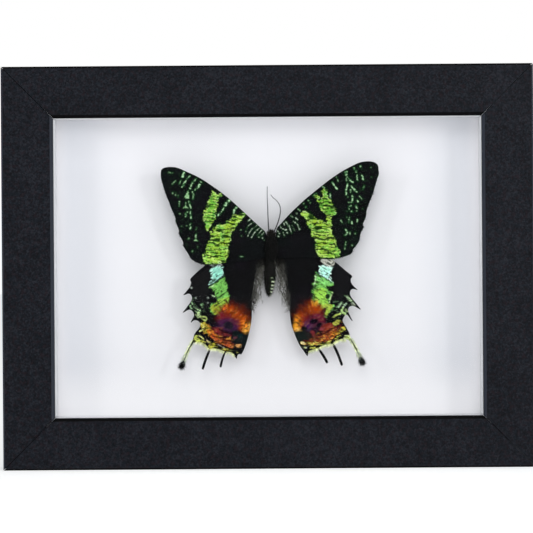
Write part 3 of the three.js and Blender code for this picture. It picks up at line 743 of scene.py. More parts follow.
leftHindMarks = [
    ("area", (150, 158, 154), 0.75, [(209, 264.4), (214, 263.2), (220, 263.6), (222.6, 265.4),
     (219, 266.2), (213, 266.6)]),
    ("area", (26, 26, 27), 0.5, [(190, 280), (205, 270), (211, 268), (209, 290), (206, 310),
     (196, 300)]),
    ("torn", (172, 222, 206), 1, [(211, 268.5), (213, 266.5), (218, 265.5), (222, 267), (223.5, 270),
     (224, 273.5), (223.5, 276), (220, 278.5), (216.5, 281), (212.5, 284), (209.8, 285), (209.8, 283),
     (211, 280), (211.8, 277), (211, 274), (210.8, 271)]),
    ("area", (128, 200, 178), 0.8, [(213, 269), (217, 267.4), (221.4, 268.8), (222.8, 272.4),
     (221.6, 275.6), (216.6, 279.4), (213.2, 281.4), (213.4, 276)]),
    ("dot", (44, 120, 110), 0.7, (216.3, 274.7, 0.8)), ("dot", (44, 120, 110), 0.6, (217.6, 280, 0.8)),
    ("torn", leafGreen, 1, [(209.5, 286.5), (212, 284.9), (217, 281.8), (222, 278.8), (225, 277),
     (226, 280), (226.5, 284), (227.5, 288), (228.3, 292), (229, 296), (229.3, 300), (228, 303.5),
     (225.5, 306), (222, 308.5), (220.5, 312), (219, 314.6), (216.5, 315), (213, 314.3), (211.5, 312.5),
     (210.5, 309.5), (209.8, 306.5), (211.5, 304.5), (214, 303.5), (217, 303), (217.3, 300),
     (216, 297.5), (214.5, 294.5), (213, 291), (211.5, 288.5)]),
    ("area", yellowGreen, 0.75, [(218, 300), (224, 298), (229, 297), (228, 304), (221, 309),
     (216, 305)]),
    ("area", olive, 0.85, [(210.6, 307), (216, 304), (221, 307), (219.6, 313.6), (214, 314)]),
    ("stroke", (196, 226, 176), 0.8, ([(212, 295), (214.5, 296.5)], 1.0)),
    ("stroke", (204, 228, 180), 0.6, ([(210, 287.4), (214, 285.4)], 1.0)),
    ("stroke", (10, 40, 34), 0.95, ([(210.5, 285.5), (215, 282.4), (219, 279.6), (224.5, 275.8)], 1.0)),
    ("dot", ink, 0.9, (221.5, 291.3, 0.9)),
    ("stroke", ink, 0.9, ([(225.5, 299.5), (227.3, 302.5)], 1.7)),
    ("dot", ink, 0.9, (218.5, 303.3, 1.1)), ("dot", (30, 60, 20), 0.6, (224, 284, 0.7)),
    ("dot", (150, 158, 150), 0.8, (191.5, 287.5, 1)), ("dot", (150, 158, 150), 0.8, (195.8, 298, 0.9)),
    ("dot", (150, 158, 150), 0.7, (207.8, 297.8, 0.9)), ("dot", (150, 158, 150), 0.8, (208, 303, 1)),
    ("stroke", (150, 186, 140), 0.9, ([(191.5, 302), (193, 304.5)], 1.5)),
    ("stroke", (150, 186, 140), 0.9, ([(190, 305.5), (191.5, 308.5)], 1.6)),
    ("stroke", (150, 186, 140), 0.9, ([(194, 306), (197.5, 309.5)], 1.4)),
    ("stroke", (170, 200, 150), 0.9, ([(197, 309), (200, 310)], 1.6)),
    ("stroke", (150, 186, 140), 0.9, ([(201, 304.5), (202.8, 307.5)], 1.5)),
    ("stroke", (170, 200, 150), 0.9, ([(195.5, 311), (197.5, 312.5)], 1.6)),
    ("stroke", (188, 212, 150), 1, ([(198.5, 313), (199.5, 316)], 3)),
    ("stroke", (188, 212, 150), 0.9, ([(196, 315), (198, 317.5)], 1.6)),
    ("stroke", (178, 196, 110), 0.9, ([(200.5, 316.5), (205, 316.8), (207, 318.5), (205.5, 320.5),
     (202.5, 319)], 1.4)),
    ("area", ink, 0.95, [(209, 317.4), (213, 315.6), (217.6, 316.6), (218, 321), (217.4, 326),
     (215.4, 330), (211.6, 328), (209.4, 323)]),
    ("glow", None, 1, None), ("oval", (22, 18, 28), 0.95, (228.4, 325.4, 4.9, 3.9, 24)),
    ("oval", (40, 34, 48), 0.6, (231.6, 329.6, 2.6, 1.1, 30)),
    ("torn", (140, 62, 30), 0.8, [(204, 325), (208, 327), (212, 331), (217, 333), (224, 336),
     (231, 339), (234.6, 342.4), (233, 347.4), (228, 347), (221, 344.6), (215, 341), (209, 336),
     (205, 331)]),
    ("area", (112, 36, 38), 0.7, [(212, 328), (218, 328), (226, 333), (233, 336), (232, 340),
     (224, 338), (216, 335)]),
    ("stroke", (26, 8, 16), 0.9, ([(219.6, 329.4), (223, 331), (227.4, 332.6), (231.4, 333.6)], 2.3)),
    ("stroke", (112, 40, 40), 0.8, ([(219.6, 333.2), (223.4, 334), (227, 334.4)], 1.0)),
    ("stroke", (28, 12, 12), 0.92, ([(216.4, 336.4), (220.4, 336.6), (225, 337.4), (230, 338)], 2.4)),
    ("stroke", (70, 30, 34), 0.7, ([(222, 335.2), (227, 336.2), (231, 337)], 0.8)),
    ("area", (15, 22, 23), 0.95, [(233.8, 331.4), (237, 330.8), (241, 333), (246, 334.8),
     (247.6, 336.6), (247, 341), (244.6, 346), (241, 343), (237, 342.6), (232.6, 343.4), (230.8, 340),
     (231.6, 336)]),
    ("oval", (96, 52, 62), 0.75, (235.4, 337.6, 2.4, 1.3, -14)),
    ("oval", (10, 40, 40), 0.6, (240.4, 335.8, 2.4, 2.2, 0)),
    ("area", (176, 160, 52), 0.95, [(201, 324), (204.4, 322.2), (207, 324.6), (209.4, 328),
     (211.4, 331.4), (209.4, 334.4), (205.4, 333), (202, 330), (200.6, 327)]),
    ("stroke", (206, 208, 130), 0.9, ([(200.4, 323.4), (203.4, 325.6), (203, 329.4),
     (199.8, 331.4)], 1.1)),
    ("area", (190, 104, 30), 0.9, [(206.6, 330.4), (210.4, 329), (214, 331), (217, 334.4),
     (217.6, 338.6), (214, 338.8), (210, 335.6)]),
    ("oval", (188, 70, 30), 0.85, (213.4, 335.8, 2.6, 1.9, 36)),
    ("oval", (122, 34, 40), 0.9, (216.6, 330.8, 2.8, 2.2, 10)),
    ("stroke", (184, 84, 42), 0.9, ([(213.6, 337.2), (217.6, 340.2), (221.4, 342), (226, 344.6),
     (231, 346.4)], 2.8)),
    ("stroke", (196, 122, 62), 0.7, ([(212.6, 338.4), (216, 340.6), (220, 341.4)], 0.9)),
    ("stroke", (70, 12, 16), 0.92, ([(219, 342.6), (223.4, 343.2)], 1.4)),
    ("stroke", (70, 12, 16), 0.85, ([(222.6, 345.6), (225.4, 345.8)], 1.1)),
    ("stroke", (60, 20, 16), 0.8, ([(216.8, 337.6), (222, 339.2), (228, 341)], 1.2)),
    ("area", (216, 156, 92), 0.97, [(235.4, 345.4), (238.2, 344.2), (241, 344.4), (241.8, 346),
     (239.8, 348), (237.4, 347.2)]),
    ("stroke", (150, 112, 62), 0.8, ([(230.4, 347), (233, 346), (236, 345.4)], 1.1)),
    ("stroke", ink, 0.97, ([(194.4, 334.6), (200, 333.8), (205, 335.2), (208.6, 337.2),
     (210.4, 340)], 2.6)),
    ("area", (196, 208, 96), 0.95, [(193.6, 336.6), (197, 335), (199, 338), (200.6, 341),
     (197.4, 342.4), (195, 340)]),
    ("stroke", (206, 208, 130), 0.9, ([(199, 335.6), (201.4, 337), (204, 339.4)], 1.1)),
    ("stroke", ink, 0.97, ([(197.8, 337), (201, 339), (204, 341.6), (207, 344.2)], 1.9)),
    ("stroke", ink, 0.95, ([(192.6, 338.6), (194.6, 341), (196.6, 342.8)], 2.2)),
    ("area", ink, 0.95, [(198.4, 328.6), (200.4, 326), (202, 328.6), (201, 329.6)]),
    ("area", ink, 0.95, [(194.4, 334.6), (197.6, 331), (199.6, 334.4)]),
    ("stroke", (190, 170, 130), 0.85, ([(206.4, 340), (209, 342.2), (211, 344.6)], 1.2)),
    ("area", (178, 172, 52), 0.95, [(210, 344), (213, 343), (216, 344.6), (215.6, 346.8), (212.4, 348),
     (210, 350.6), (208.6, 348)]),
    ("area", (178, 164, 58), 0.95, [(221.6, 349.4), (225, 348.4), (229, 349.2), (227.6, 352),
     (224.6, 352.8)]),
    ("stroke", ink, 0.92, ([(213.8, 341.4), (216, 342.8), (217.6, 343.8)], 1.5)),
    ("stroke", ink, 0.95, ([(216.8, 345.2), (219.4, 347.4), (222.4, 348.6)], 2.0)),
    ("stroke", (176, 170, 150), 0.8, ([(218.6, 344.8), (221.4, 346.2), (224, 347.4)], 0.9)),
    ("stroke", ink, 0.92, ([(213, 347), (215.6, 347.8)], 1.5)),
    ("stroke", ink, 0.9, ([(209.8, 342.4), (212, 343)], 1.3)),
    ("stroke", ink, 0.97, ([(229, 350), (233, 349.6), (237, 348.6), (241, 349.6)], 2.2)),
    ("oval", ink, 0.95, (231.6, 351.8, 1.6, 0.9, 0)),
    ("flecks", (198, 136, 50), 0.75, (61, 0.42, (26, 12, 14), [(205, 324), (214, 328), (222, 333),
     (233, 338), (233, 348), (222, 346), (212, 340), (203, 334)])),
    ("flecks", (190, 192, 84), 0.85, (62, 0.3, (14, 14, 12), [(194, 336), (205, 340), (216, 346),
     (230, 350), (239, 353), (224, 353), (210, 348), (196, 342)])),
    ("flecks", (132, 178, 122), 0.55, (63, 0.55, (12, 14, 14), [(190, 300), (198, 299), (205, 303),
     (206, 312), (200, 317), (192, 309)])),
    ("stroke", ink, 1, ([(193, 342), (189.4, 347.6), (186, 354), (183.4, 360), (181.6, 366)], 1.2)),
    ("stroke", ink, 1, ([(209.4, 349.4), (206.2, 358), (202.8, 368.8)], 2.6)),
    ("stroke", ink, 1, ([(225.4, 352.4), (222.2, 360), (220.6, 366.5)], 2.6)),
    ("stroke", ink, 1, ([(233, 353.4), (235.4, 355.6), (236.7, 358.8), (238.6, 354.6)], 1.8))]

# dabs of the glowing eye: (colour, amount, u, v, half width, half height)
leftGlow = [
    ((100, 36, 20), 1.0, 233, 310, 11.5, 6.5), ((104, 34, 26), 0.97, 224.5, 314, 8, 8),
    ((120, 48, 18), 0.95, 241, 319, 9, 8), ((172, 76, 20), 0.95, 230, 309.6, 7, 4.2),
    ((176, 78, 18), 0.95, 236, 314.6, 6, 4.6), ((190, 90, 16), 0.95, 242, 319.6, 5, 5),
    ((196, 84, 14), 0.9, 241.6, 325, 3.6, 5.4), ((186, 92, 34), 0.9, 224.6, 308.6, 3.4, 2.6),
    ((224, 138, 44), 0.95, 245.6, 326.4, 3.4, 5.6), ((232, 172, 74), 0.95, 246, 330.6, 3.4, 3),
    ((226, 182, 100), 0.8, 249.6, 326, 1.7, 4), ((132, 42, 30), 0.9, 229, 316.4, 8, 3),
    ((134, 38, 40), 0.9, 221.4, 315.8, 4.6, 4.6), ((88, 34, 62), 0.9, 222.6, 322.4, 4.4, 3.6),
    ((70, 32, 62), 0.9, 229, 321, 7, 3.2), ((94, 26, 50), 0.92, 236.6, 323.6, 3.4, 4.4),
    ((58, 32, 62), 0.9, 226, 327, 8.6, 5.6), ((66, 34, 66), 0.7, 234.6, 328, 3, 3),
    ((112, 36, 36), 0.85, 218.6, 330.6, 5, 2.8), ((84, 30, 34), 0.85, 222, 334, 6, 3.2),
    ((52, 24, 36), 0.85, 229.6, 337, 6, 4)]

rightHindMarks = [
    ("area", (24, 24, 26), 0.5, [(335, 264), (346, 272), (350, 280), (349, 292), (340, 298), (334, 290),
     (334, 275)]),
    ("area", (196, 196, 184), 0.85, [(320.6, 259.5), (328, 258), (334.6, 260.4), (334.8, 263.6),
     (332, 266.4), (327, 265.8), (323, 263.6)]),
    ("stroke", (120, 116, 104), 0.5, ([(322, 261), (327, 263), (332, 264.4)], 1.2)),
    ("torn", turquoiseRim, 1, [(319.3, 265.2), (322, 264.4), (324.5, 264.6), (327, 266.2), (331, 266.5),
     (332.8, 268.5), (332.4, 271), (331, 273.2), (330.2, 275.5), (330.8, 278.5), (332.4, 281),
     (333, 283.4), (330, 281.4), (327, 279.6), (323.5, 278.2), (320.5, 276.2), (318.6, 273.6),
     (318, 270.5), (318.4, 267.5)]),
    ("area", turquoise, 0.7, [(320.6, 268), (324, 266.6), (329, 268), (331, 270.4), (329.6, 274),
     (329, 278.4), (324, 276.6), (320.4, 273)]),
    ("torn", leafGreen, 1, [(316.4, 272.6), (318.6, 274.4), (321, 276.6), (324.5, 278), (328, 279.4),
     (331, 281.6), (333.2, 283.6), (332.8, 285.2), (330.8, 285.9), (328.6, 286.2), (327.4, 286.9),
     (329.2, 288.6), (329.6, 291), (330.8, 292.4), (333, 292), (332.2, 294.4), (330.6, 297.2),
     (330, 300.4), (328.6, 303.2), (331, 305), (334, 305.6), (333, 308.4), (331, 311), (328.6, 313.6),
     (326.6, 316.4), (325.4, 317.6), (324.6, 314.6), (322.4, 312), (321.4, 308.6), (319.6, 306),
     (316.6, 304.6), (313.6, 302), (312, 299.4), (313.4, 297), (312.8, 294), (311.9, 291.2),
     (313, 289.4), (313.4, 286.8), (312.6, 284), (314, 281), (315, 277.6), (315.3, 274.6)]),
    ("area", (126, 196, 110), 0.7, [(316, 275), (324, 279), (332, 284), (326, 285), (317, 282)]),
    ("area", (154, 206, 78), 0.8, [(314, 291), (320, 288), (327, 290), (326, 296), (328, 303),
     (322, 304), (315, 300)]),
    ("area", (176, 190, 66), 0.7, [(320, 305), (328, 304), (333, 306), (329, 312), (326, 316),
     (323, 311)]),
    ("stroke", (214, 238, 196), 0.7, ([(316, 275), (315.4, 280), (314.2, 285)], 1.0)),
    ("stroke", (196, 222, 160), 0.7, ([(332.6, 292.6), (330.6, 297), (329.4, 302)], 1.2)),
    ("stroke", (18, 84, 66), 0.85, ([(316.6, 272.4), (319.6, 274.6), (323, 277), (327.4, 279.2),
     (331, 282.4)], 0.9)),
    ("oval", (14, 30, 18), 0.97, (327.5, 296.4, 2.3, 2.4, 0)),
    ("stroke", ink, 0.9, ([(316, 285.6), (314.4, 287.5)], 1.1)),
    ("stroke", (14, 40, 14), 0.9, ([(314.4, 294.6), (314.4, 297.8)], 1.4)),
    ("dot", (70, 84, 10), 0.8, (316.5, 297.8, 0.8)),
    ("oval", (34, 8, 26), 0.97, (323.8, 310.8, 1.9, 3.7, 28)),
    ("area", ink, 1, [(326, 324), (326.6, 320), (328.6, 316), (331, 313), (333.4, 309.6), (335, 306.4),
     (337.6, 305.8), (338, 309.6), (338, 313), (335, 315.2), (332.6, 317), (333, 319.6), (334.8, 321),
     (333, 323), (330, 322.4)]),
    ("stroke", (160, 192, 150), 0.95, ([(341.6, 302.4), (338.6, 306.6)], 1.8)),
    ("stroke", (176, 200, 176), 0.95, ([(345.8, 303.6), (343, 307)], 1.9)),
    ("stroke", (178, 204, 160), 0.95, ([(347, 296.2), (348.6, 298.6), (350.4, 300.6)], 2.2)),
    ("area", (204, 214, 190), 0.9, [(351.4, 302.8), (353.2, 302.6), (355, 305), (353.6, 305.6),
     (351.6, 305.2)]),
    ("stroke", (176, 208, 132), 0.95, ([(342.8, 308), (341.6, 311), (344.4, 313.4),
     (346.6, 316)], 2.2)),
    ("stroke", (190, 214, 150), 0.95, ([(345.4, 309.4), (347.2, 311.6)], 1.6)),
    ("stroke", (182, 200, 96), 0.95, ([(333.4, 317), (336.4, 315), (340.4, 313.4)], 1.7)),
    ("area", (172, 172, 72), 0.97, [(332.4, 324), (335, 321.2), (338.4, 319.8), (340.6, 321.2),
     (339, 324), (335.6, 325.6)]),
    ("stroke", ink, 0.9, ([(339.8, 322.8), (342, 320.4)], 1.5)), ("glow", None, 1, None),
    ("oval", (10, 5, 14), 0.98, (313.6, 321.2, 4.4, 2.6, -10)),
    ("oval", (12, 8, 16), 0.97, (319, 324.8, 3.6, 2.0, -26)),
    ("oval", (22, 14, 24), 0.85, (315.4, 328.6, 2.8, 2, -30)),
    ("oval", ink, 0.97, (304.4, 328.2, 3.2, 2.0, 14)),
    ("oval", (50, 44, 60), 0.7, (308.6, 330.2, 2.2, 1.4, 0)),
    ("area", (120, 42, 32), 0.95, [(321.6, 326), (325.6, 323.6), (330, 323), (333.2, 324.6),
     (331.8, 328), (329, 330), (326, 331.6), (327, 335), (322, 337), (317, 336), (319, 331)]),
    ("oval", (130, 58, 66), 0.8, (321.6, 329.2, 2.4, 1.3, -20)),
    ("oval", (150, 66, 52), 0.6, (329.6, 326.4, 2.6, 1.5, -20)),
    ("stroke", (70, 14, 20), 0.8, ([(321, 327), (325, 325.6), (328.6, 324.6)], 1.0)),
    ("oval", (112, 38, 42), 0.85, (312.4, 333.4, 2.5, 3.0, 0)),
    ("oval", (16, 17, 15), 0.98, (319.2, 333.2, 4.0, 2.6, -12)),
    ("stroke", (44, 12, 14), 0.92, ([(314.6, 338), (319, 338), (324, 338.4), (328.6, 336.6)], 2.2)),
    ("stroke", (56, 10, 22), 0.97, ([(328, 331.4), (331.4, 330.4), (335, 328), (340.6, 325.4)], 3.0)),
    ("stroke", (96, 30, 34), 0.6, ([(331, 331.4), (335, 329.4)], 0.9)),
    ("area", (176, 178, 64), 0.97, [(335.4, 332.6), (338, 329.6), (342, 327), (345.6, 326.8),
     (345, 330), (341, 332), (337.4, 334.4)]),
    ("stroke", (90, 92, 20), 0.7, ([(337.4, 331.8), (340, 330.4), (342.4, 329.2)], 1.1)),
    ("torn", (134, 56, 34), 0.8, [(308, 339), (314, 335), (322, 333), (330, 330), (338, 327),
     (342, 329), (336, 335), (330, 340.6), (322, 342.6), (312, 343)]),
    ("stroke", (34, 10, 16), 0.9, ([(317, 335.6), (322, 334.6), (327, 332)], 1.6)),
    ("stroke", (30, 10, 12), 0.9, ([(311, 338.6), (317, 338), (322, 338.6)], 1.5)),
    ("area", (184, 92, 34), 0.8, [(321.4, 336.2), (326, 333.8), (331, 332), (334.4, 331.6),
     (336.6, 333), (335, 336), (332.6, 340), (328.6, 341), (326, 339.6), (329, 336.4)]),
    ("area", (200, 138, 38), 0.8, [(331.6, 333.6), (335.4, 331.6), (337.4, 333.4), (334, 335.4)]),
    ("oval", (206, 132, 66), 0.8, (331, 338.2, 2.4, 2.4, 0)),
    ("stroke", (80, 24, 14), 0.9, ([(330.4, 336.4), (333, 335.8)], 1.1)),
    ("stroke", ink, 0.98, ([(333.6, 340.2), (336.8, 337.4), (340.4, 335.6), (344.8, 332.6)], 3.2)),
    ("stroke", ink, 0.92, ([(342.4, 325.2), (344.6, 325.6), (346.2, 328.4)], 1.5)),
    ("area", ink, 0.97, [(346.4, 333.4), (348.4, 331.4), (350.4, 333.6), (348.6, 334.2)]),
    ("area", (205, 222, 150), 0.95, [(343, 338.6), (344.6, 335.6), (348, 334.6), (351.4, 336.4),
     (352.6, 340.6), (349.6, 341.6), (346, 339.8)]),
    ("oval", (128, 150, 40), 0.85, (347.4, 337, 1.5, 0.8, 0)),
    ("stroke", (84, 90, 40), 0.8, ([(349.6, 340), (352, 337.6)], 1.0)),
    ("area", (17, 26, 24), 0.9, [(294.4, 332), (302, 331.6), (311, 333), (311.6, 338), (305, 341),
     (299, 341.4), (296.6, 337)]),
    ("stroke", (194, 148, 66), 0.97, ([(301.6, 342.8), (306, 343.8), (311.6, 343.6), (317, 343.6),
     (321, 342)], 2.5)),
    ("stroke", (236, 218, 158), 0.9, ([(301.4, 342.6), (304, 343.2)], 2.4)),
    ("stroke", (84, 20, 14), 0.95, ([(304, 340.6), (309, 341.2), (313.4, 340.6)], 1.3)),
    ("stroke", (110, 34, 24), 0.9, ([(316, 341.6), (321, 341.2), (325, 339.8)], 1.4)),
    ("stroke", (206, 150, 100), 0.8, ([(314.4, 338.6), (315.2, 342)], 1.1)),
    ("stroke", (164, 168, 72), 0.9, ([(321.6, 345), (325.6, 343.4), (330.4, 342.6)], 1.8)),
    ("stroke", (20, 40, 16), 0.8, ([(325, 342.4), (327.6, 341.6)], 1.0)),
    ("stroke", ink, 0.97, ([(302.4, 345.6), (306, 346.6), (310.4, 345.4), (314, 348.6)], 1.5)),
    ("stroke", (188, 196, 184), 0.9, ([(303.6, 347.8), (307, 347.9)], 1.1)),
    ("stroke", ink, 0.97, ([(303.4, 350.6), (307, 349.8), (310, 348.8), (313, 350.2)], 2.0)),
    ("stroke", ink, 0.9, ([(321, 347.2), (325.4, 345.6)], 1.0)),
    ("stroke", ink, 0.9, ([(313.6, 347.6), (317.6, 347)], 1.0)),
    ("flecks", (200, 138, 56), 0.7, (64, 0.45, (30, 12, 14), [(312, 336), (322, 331), (334, 326),
     (342, 322), (344, 330), (334, 339), (322, 343), (312, 343)])),
    ("flecks", (190, 192, 84), 0.85, (65, 0.3, (14, 14, 12), [(303, 343), (314, 342), (326, 341),
     (338, 336), (346, 334), (344, 340), (326, 345), (312, 350), (305, 352)])),
    ("flecks", (140, 184, 128), 0.5, (66, 0.55, (12, 14, 14), [(334, 300), (344, 292), (352, 298),
     (350, 310), (340, 318), (332, 316)])),
    ("stroke", ink, 1, ([(350.4, 339), (353.6, 344), (357, 350), (359.6, 355), (362.4, 362)], 1.2)),
    ("stroke", ink, 1, ([(333.4, 342.8), (336, 349), (339, 357), (341.6, 364.8)], 2.6)),
    ("stroke", ink, 1, ([(318.4, 347.4), (321, 352.4), (327, 362.4)], 2.6)),
    ("area", ink, 0.9, [(303, 349), (306.6, 351), (308, 354), (307.4, 356.4), (304.8, 353.4)])]

rightGlow = [
    ((96, 34, 18), 1.0, 311, 307, 9, 6.5), ((110, 40, 18), 0.97, 302.4, 313.6, 8, 6.5),
    ((110, 34, 28), 0.95, 318.6, 312, 6, 8), ((168, 78, 20), 0.95, 311, 309, 4.6, 4.6),
    ((176, 82, 18), 0.9, 313.6, 311.6, 5, 3), ((186, 74, 14), 0.9, 318, 309, 2.6, 4.4),
    ((206, 150, 48), 0.85, 315.6, 302.8, 2.8, 2.6), ((178, 80, 22), 0.95, 300.6, 316.6, 3.4, 5.6),
    ((188, 84, 16), 0.9, 301.6, 322.6, 2.8, 4.6), ((216, 132, 32), 0.95, 297.4, 321.4, 2.8, 5.6),
    ((228, 160, 44), 0.95, 296, 326, 2.8, 4.4), ((226, 186, 106), 0.9, 297.6, 330.2, 3.6, 1.9),
    ((150, 42, 24), 0.85, 305.6, 318, 2.8, 4.6), ((96, 34, 40), 0.95, 310, 321, 6, 5.4),
    ((112, 30, 58), 0.92, 317.6, 316.6, 5, 3.4), ((104, 28, 46), 0.9, 321.4, 320.6, 3.6, 4.4),
    ((84, 30, 78), 0.95, 309.6, 323.8, 5, 3.4), ((70, 32, 84), 0.9, 308, 327, 4.4, 2.8),
    ((70, 34, 50), 0.9, 316, 326.6, 6.6, 4), ((96, 44, 48), 0.85, 322.6, 325, 3.6, 3.2),
    ((52, 22, 30), 0.9, 316, 334, 8, 4), ((84, 30, 32), 0.8, 308.6, 335, 4, 3)]

hindWing = {
    "ground": (10, 10, 11), "violetGloss": (19, 16, 23), "greenGloss": (13, 19, 19),
    "greyRows": (29, 29, 32), "purpleTone": (0.88, 0.74, 1.0), "brownTone": (0.87, 0.74, 0.7),
    "goldTone": (1.0, 0.96, 0.88), "goldFrom": 200, "rayDark": (44, 12, 8), "rayGold": (244, 150, 52),
    "rowDark": (18, 32, 14), "speckDark": (14, 20, 12),
    "eyeCentre": {"left": (228, 325), "right": (313, 321)}, "rowTilt": {"left": -32, "right": 30}}


def layGlow(paint, spots, glow, centre, torn):
    # soft dabs that run into each other, drawn out along the silky hairs
    look = hindWing
    ragged = 0.3 * rays(spots, centre, 48)
    reach = np.zeros(len(spots))
    for colour, amount, u, v, wide, tall in glow:
        away = np.hypot((spots[:, 0] - u) / wide, (spots[:, 1] - v) / tall) + ragged + 0.12 * torn
        cover = amount * np.exp(-np.clip(away, 0, 9) ** 3)
        if colour[2] > colour[1]:
            tone = look["purpleTone"]
        else:
            tone = look["brownTone"] if colour[0] < look["goldFrom"] else look["goldTone"]
        paint.blend(cover, toned(colour, tone))
        reach = np.maximum(reach, cover)
    bright = reach * clamped(paint.colour.sum(1) * 5 - 0.2)
    paint.blend(bright * clamped(rays(spots, centre, 50, 64) * 2.6 - 0.4) * 0.75, look["rayDark"])
    paint.blend(bright * clamped(rays(spots, centre, 51, 52) * 2.2 - 0.8) * 0.5, look["rayGold"])


def layFlecks(paint, spots, colour, amount, shape, torn, tilt):
    # small broken scales of two colours scattered over an area
    seed, share, dark, points = shape
    inside = ramp(area(spots, points) + torn, 2.0) * amount
    mosaic = rows(spots, seed, -tilt * 0.4, 2.6, 1.0)
    paint.blend(inside * clamped((mosaic - share) * 5), colour)
    paint.blend(inside * clamped((-mosaic - share * 0.5) * 5), dark)


def hindWingPaint(spots, marks, glow, side):
    look = hindWing
    tilt = look["rowTilt"][side]
    paint = Paint(spots, look["ground"])
    paint.blend(0.5 * clamped(grain(spots, 12, 41)), look["violetGloss"])
    paint.blend(0.4 * clamped(grain(spots, 8, 42)), look["greenGloss"])
    paint.blend(0.35 * clamped(rows(spots, 43, tilt, 2.6, 0.8)), look["greyRows"])
    torn = 0.9 * rows(spots, 46, tilt, 3.2, 0.9) + 0.5 * grain(spots, 1.0, 47)
    for kind, colour, amount, shape in marks:
        if kind == "glow":
            layGlow(paint, spots, glow, look["eyeCentre"][side], torn)
        elif kind == "flecks":
            layFlecks(paint, spots, colour, amount, shape, torn, tilt)
        elif kind == "torn":
            paint.lay(area(spots, shape) + 1.8 * torn - 0.2, colour, soft=0.7, amount=amount, ragged=0)
        else:
            if kind == "area":
                depth = area(spots, shape)
            elif kind == "stroke":
                depth = stroke(spots, *shape)
            else:
                depth = oval(spots, shape[:2], *shape[2:])
            paint.lay(depth + 0.25 * torn, colour, soft=0.8, amount=amount)
    bright = clamped(paint.colour.sum(1) * 4 - 0.6)
    paint.blend(bright * clamped(rows(spots, 44, tilt, 4.2, 0.9) * 3.2 - 0.8) * 0.82, look["rowDark"])
    paint.blend(bright * clamped(grain(spots, 0.9, 49) * 4 - 1.9) * 0.8, look["speckDark"])
    glint = bright * clamped(rows(spots, 45, tilt, 2.4, 0.8) * 2 - 0.3)
    paint.colour = np.clip(paint.colour * (1 + 0.45 * glint)[:, None], 0, 0.95)
    return paint


# What a kind of hair has where it says nothing else, lengths in mm
usualHair = {
    "spread": 0.6,              # roots stand this far off their path, in drawing units
    "fan": 0.25,                # how much the directions differ
    "lift": 0.06,
    "bend": 0.12,
    "few": 1.0,                 # over 1: few long ones
    "first": 1.0,               # over 1: more near the start of the path
    "lock": 1,                  # hairs to a lock
    "lockSpread": 0.07,
    "lockFan": 0.035,
    "lockTones": (0.3, 1.9),
    "lockLengths": (0.8, 1.1),
    "depth": 0,
    "rootDepths": (-0.12, 0.08),
    "patch": 0.7}               # size of the lighter and darker places
strandSides = 3
strandRings = 4
strandTaper = 0.82
strandWidths = (0.7, 1.25)
strandTones = (0.7, 1.3)


def strands(name, roots, ways, lengths, kind, tone=None):
    # tapered, slightly bent tubes, one per root
    seed = kind["seed"] + 1
    bend = kind["bend"] / math.sqrt(kind["lock"])
    rng = np.random.default_rng(seed)
    count = len(roots)
    ways = ways / np.linalg.norm(ways, axis=1)[:, None]
    across = np.cross(ways, rng.normal(size=(count, 3)))
    across /= np.linalg.norm(across, axis=1)[:, None]
    other = np.cross(ways, across)
    curl = (across * rng.normal(size=(count, 1)) + other * rng.normal(size=(count, 1))) * bend
    widths = kind["width"] * rng.uniform(*strandWidths, count)
    points = []
    for t in np.arange(strandRings) / (strandRings - 1):
        spine = roots + ways * (lengths * t)[:, None] + curl * (lengths * t * t)[:, None]
        radius = widths / 2 * (1 - strandTaper * t)
        for a in 2 * math.pi * np.arange(strandSides) / strandSides:
            points.append(spine + (across * math.cos(a) + other * math.sin(a)) * radius[:, None])
    points = np.stack(points, 1)

    faces = []
    for low in range(0, (strandRings - 1) * strandSides, strandSides):
        high = low + strandSides
        for s in range(strandSides):
            n = (s + 1) % strandSides
            faces += [(low + s, low + n, high + n), (low + s, high + n, high + s)]
    top = (strandRings - 1) * strandSides
    faces = np.array(faces + [(0, 2, 1), (top, top + 1, top + 2)])
    each = points.shape[1]
    allFaces = (faces[None] + (np.arange(count) * each)[:, None, None]).reshape(-1, 3)
    obj = meshObject(name, points.reshape(-1, 3) * mm, allFaces)

    along = np.tile(np.repeat(np.linspace(0, 1, strandRings), strandSides), count)
    root, tip = (np.array(linear(*kind[end])) for end in ("root", "tip"))
    if tone is None:
        tone = patches(roots, kind["patch"], seed)
    shade = np.repeat(rng.uniform(*strandTones, count) * tone, each)[:, None]
    storeColour(obj, "tint", np.clip((root + (tip - root) * along[:, None]) * shade, 0, 0.95))
    storeValue(obj, "along", along)
    return obj


def patches(roots, size, seed):
    # lighter and darker places in a coat
    return 1 + 0.5 * grain(roots[:, [0, 2]] + 300, size, seed)


def alongPath(path, count, rng, spread, first):
    # random points beside a path, with the path's direction there
    path = np.array(path, float)
    run = np.concatenate([[0], np.cumsum(np.hypot(*np.diff(path, axis=0).T))])
    at = run[-1] * rng.uniform(0, 1, count) ** first
    i = np.clip(np.searchsorted(run, at) - 1, 0, len(path) - 2)
    way = path[i + 1] - path[i]
    t = (at - run[i]) / np.maximum(run[i + 1] - run[i], 1e-9)
    way = way / np.linalg.norm(way, axis=1)[:, None]
    side = np.stack([-way[:, 1], way[:, 0]], 1)
    off = side * rng.normal(0, spread, (count, 1))
    return path[i] + way * (t * (run[i + 1] - run[i]))[:, None] + off, way, side


def onSheet(spots, depthY):
    x, z = plan(spots).T
    return np.stack([x, depthY + wingRise(x, z), z], 1)


def planWay(ways):
    # direction on the drawing grid to direction in the frame
    a = math.radians(mothTurn)
    return np.stack([ways[:, 0] * math.cos(a) - ways[:, 1] * math.sin(a), np.zeros(len(ways)),
                     -(ways[:, 0] * math.sin(a) + ways[:, 1] * math.cos(a))], 1)


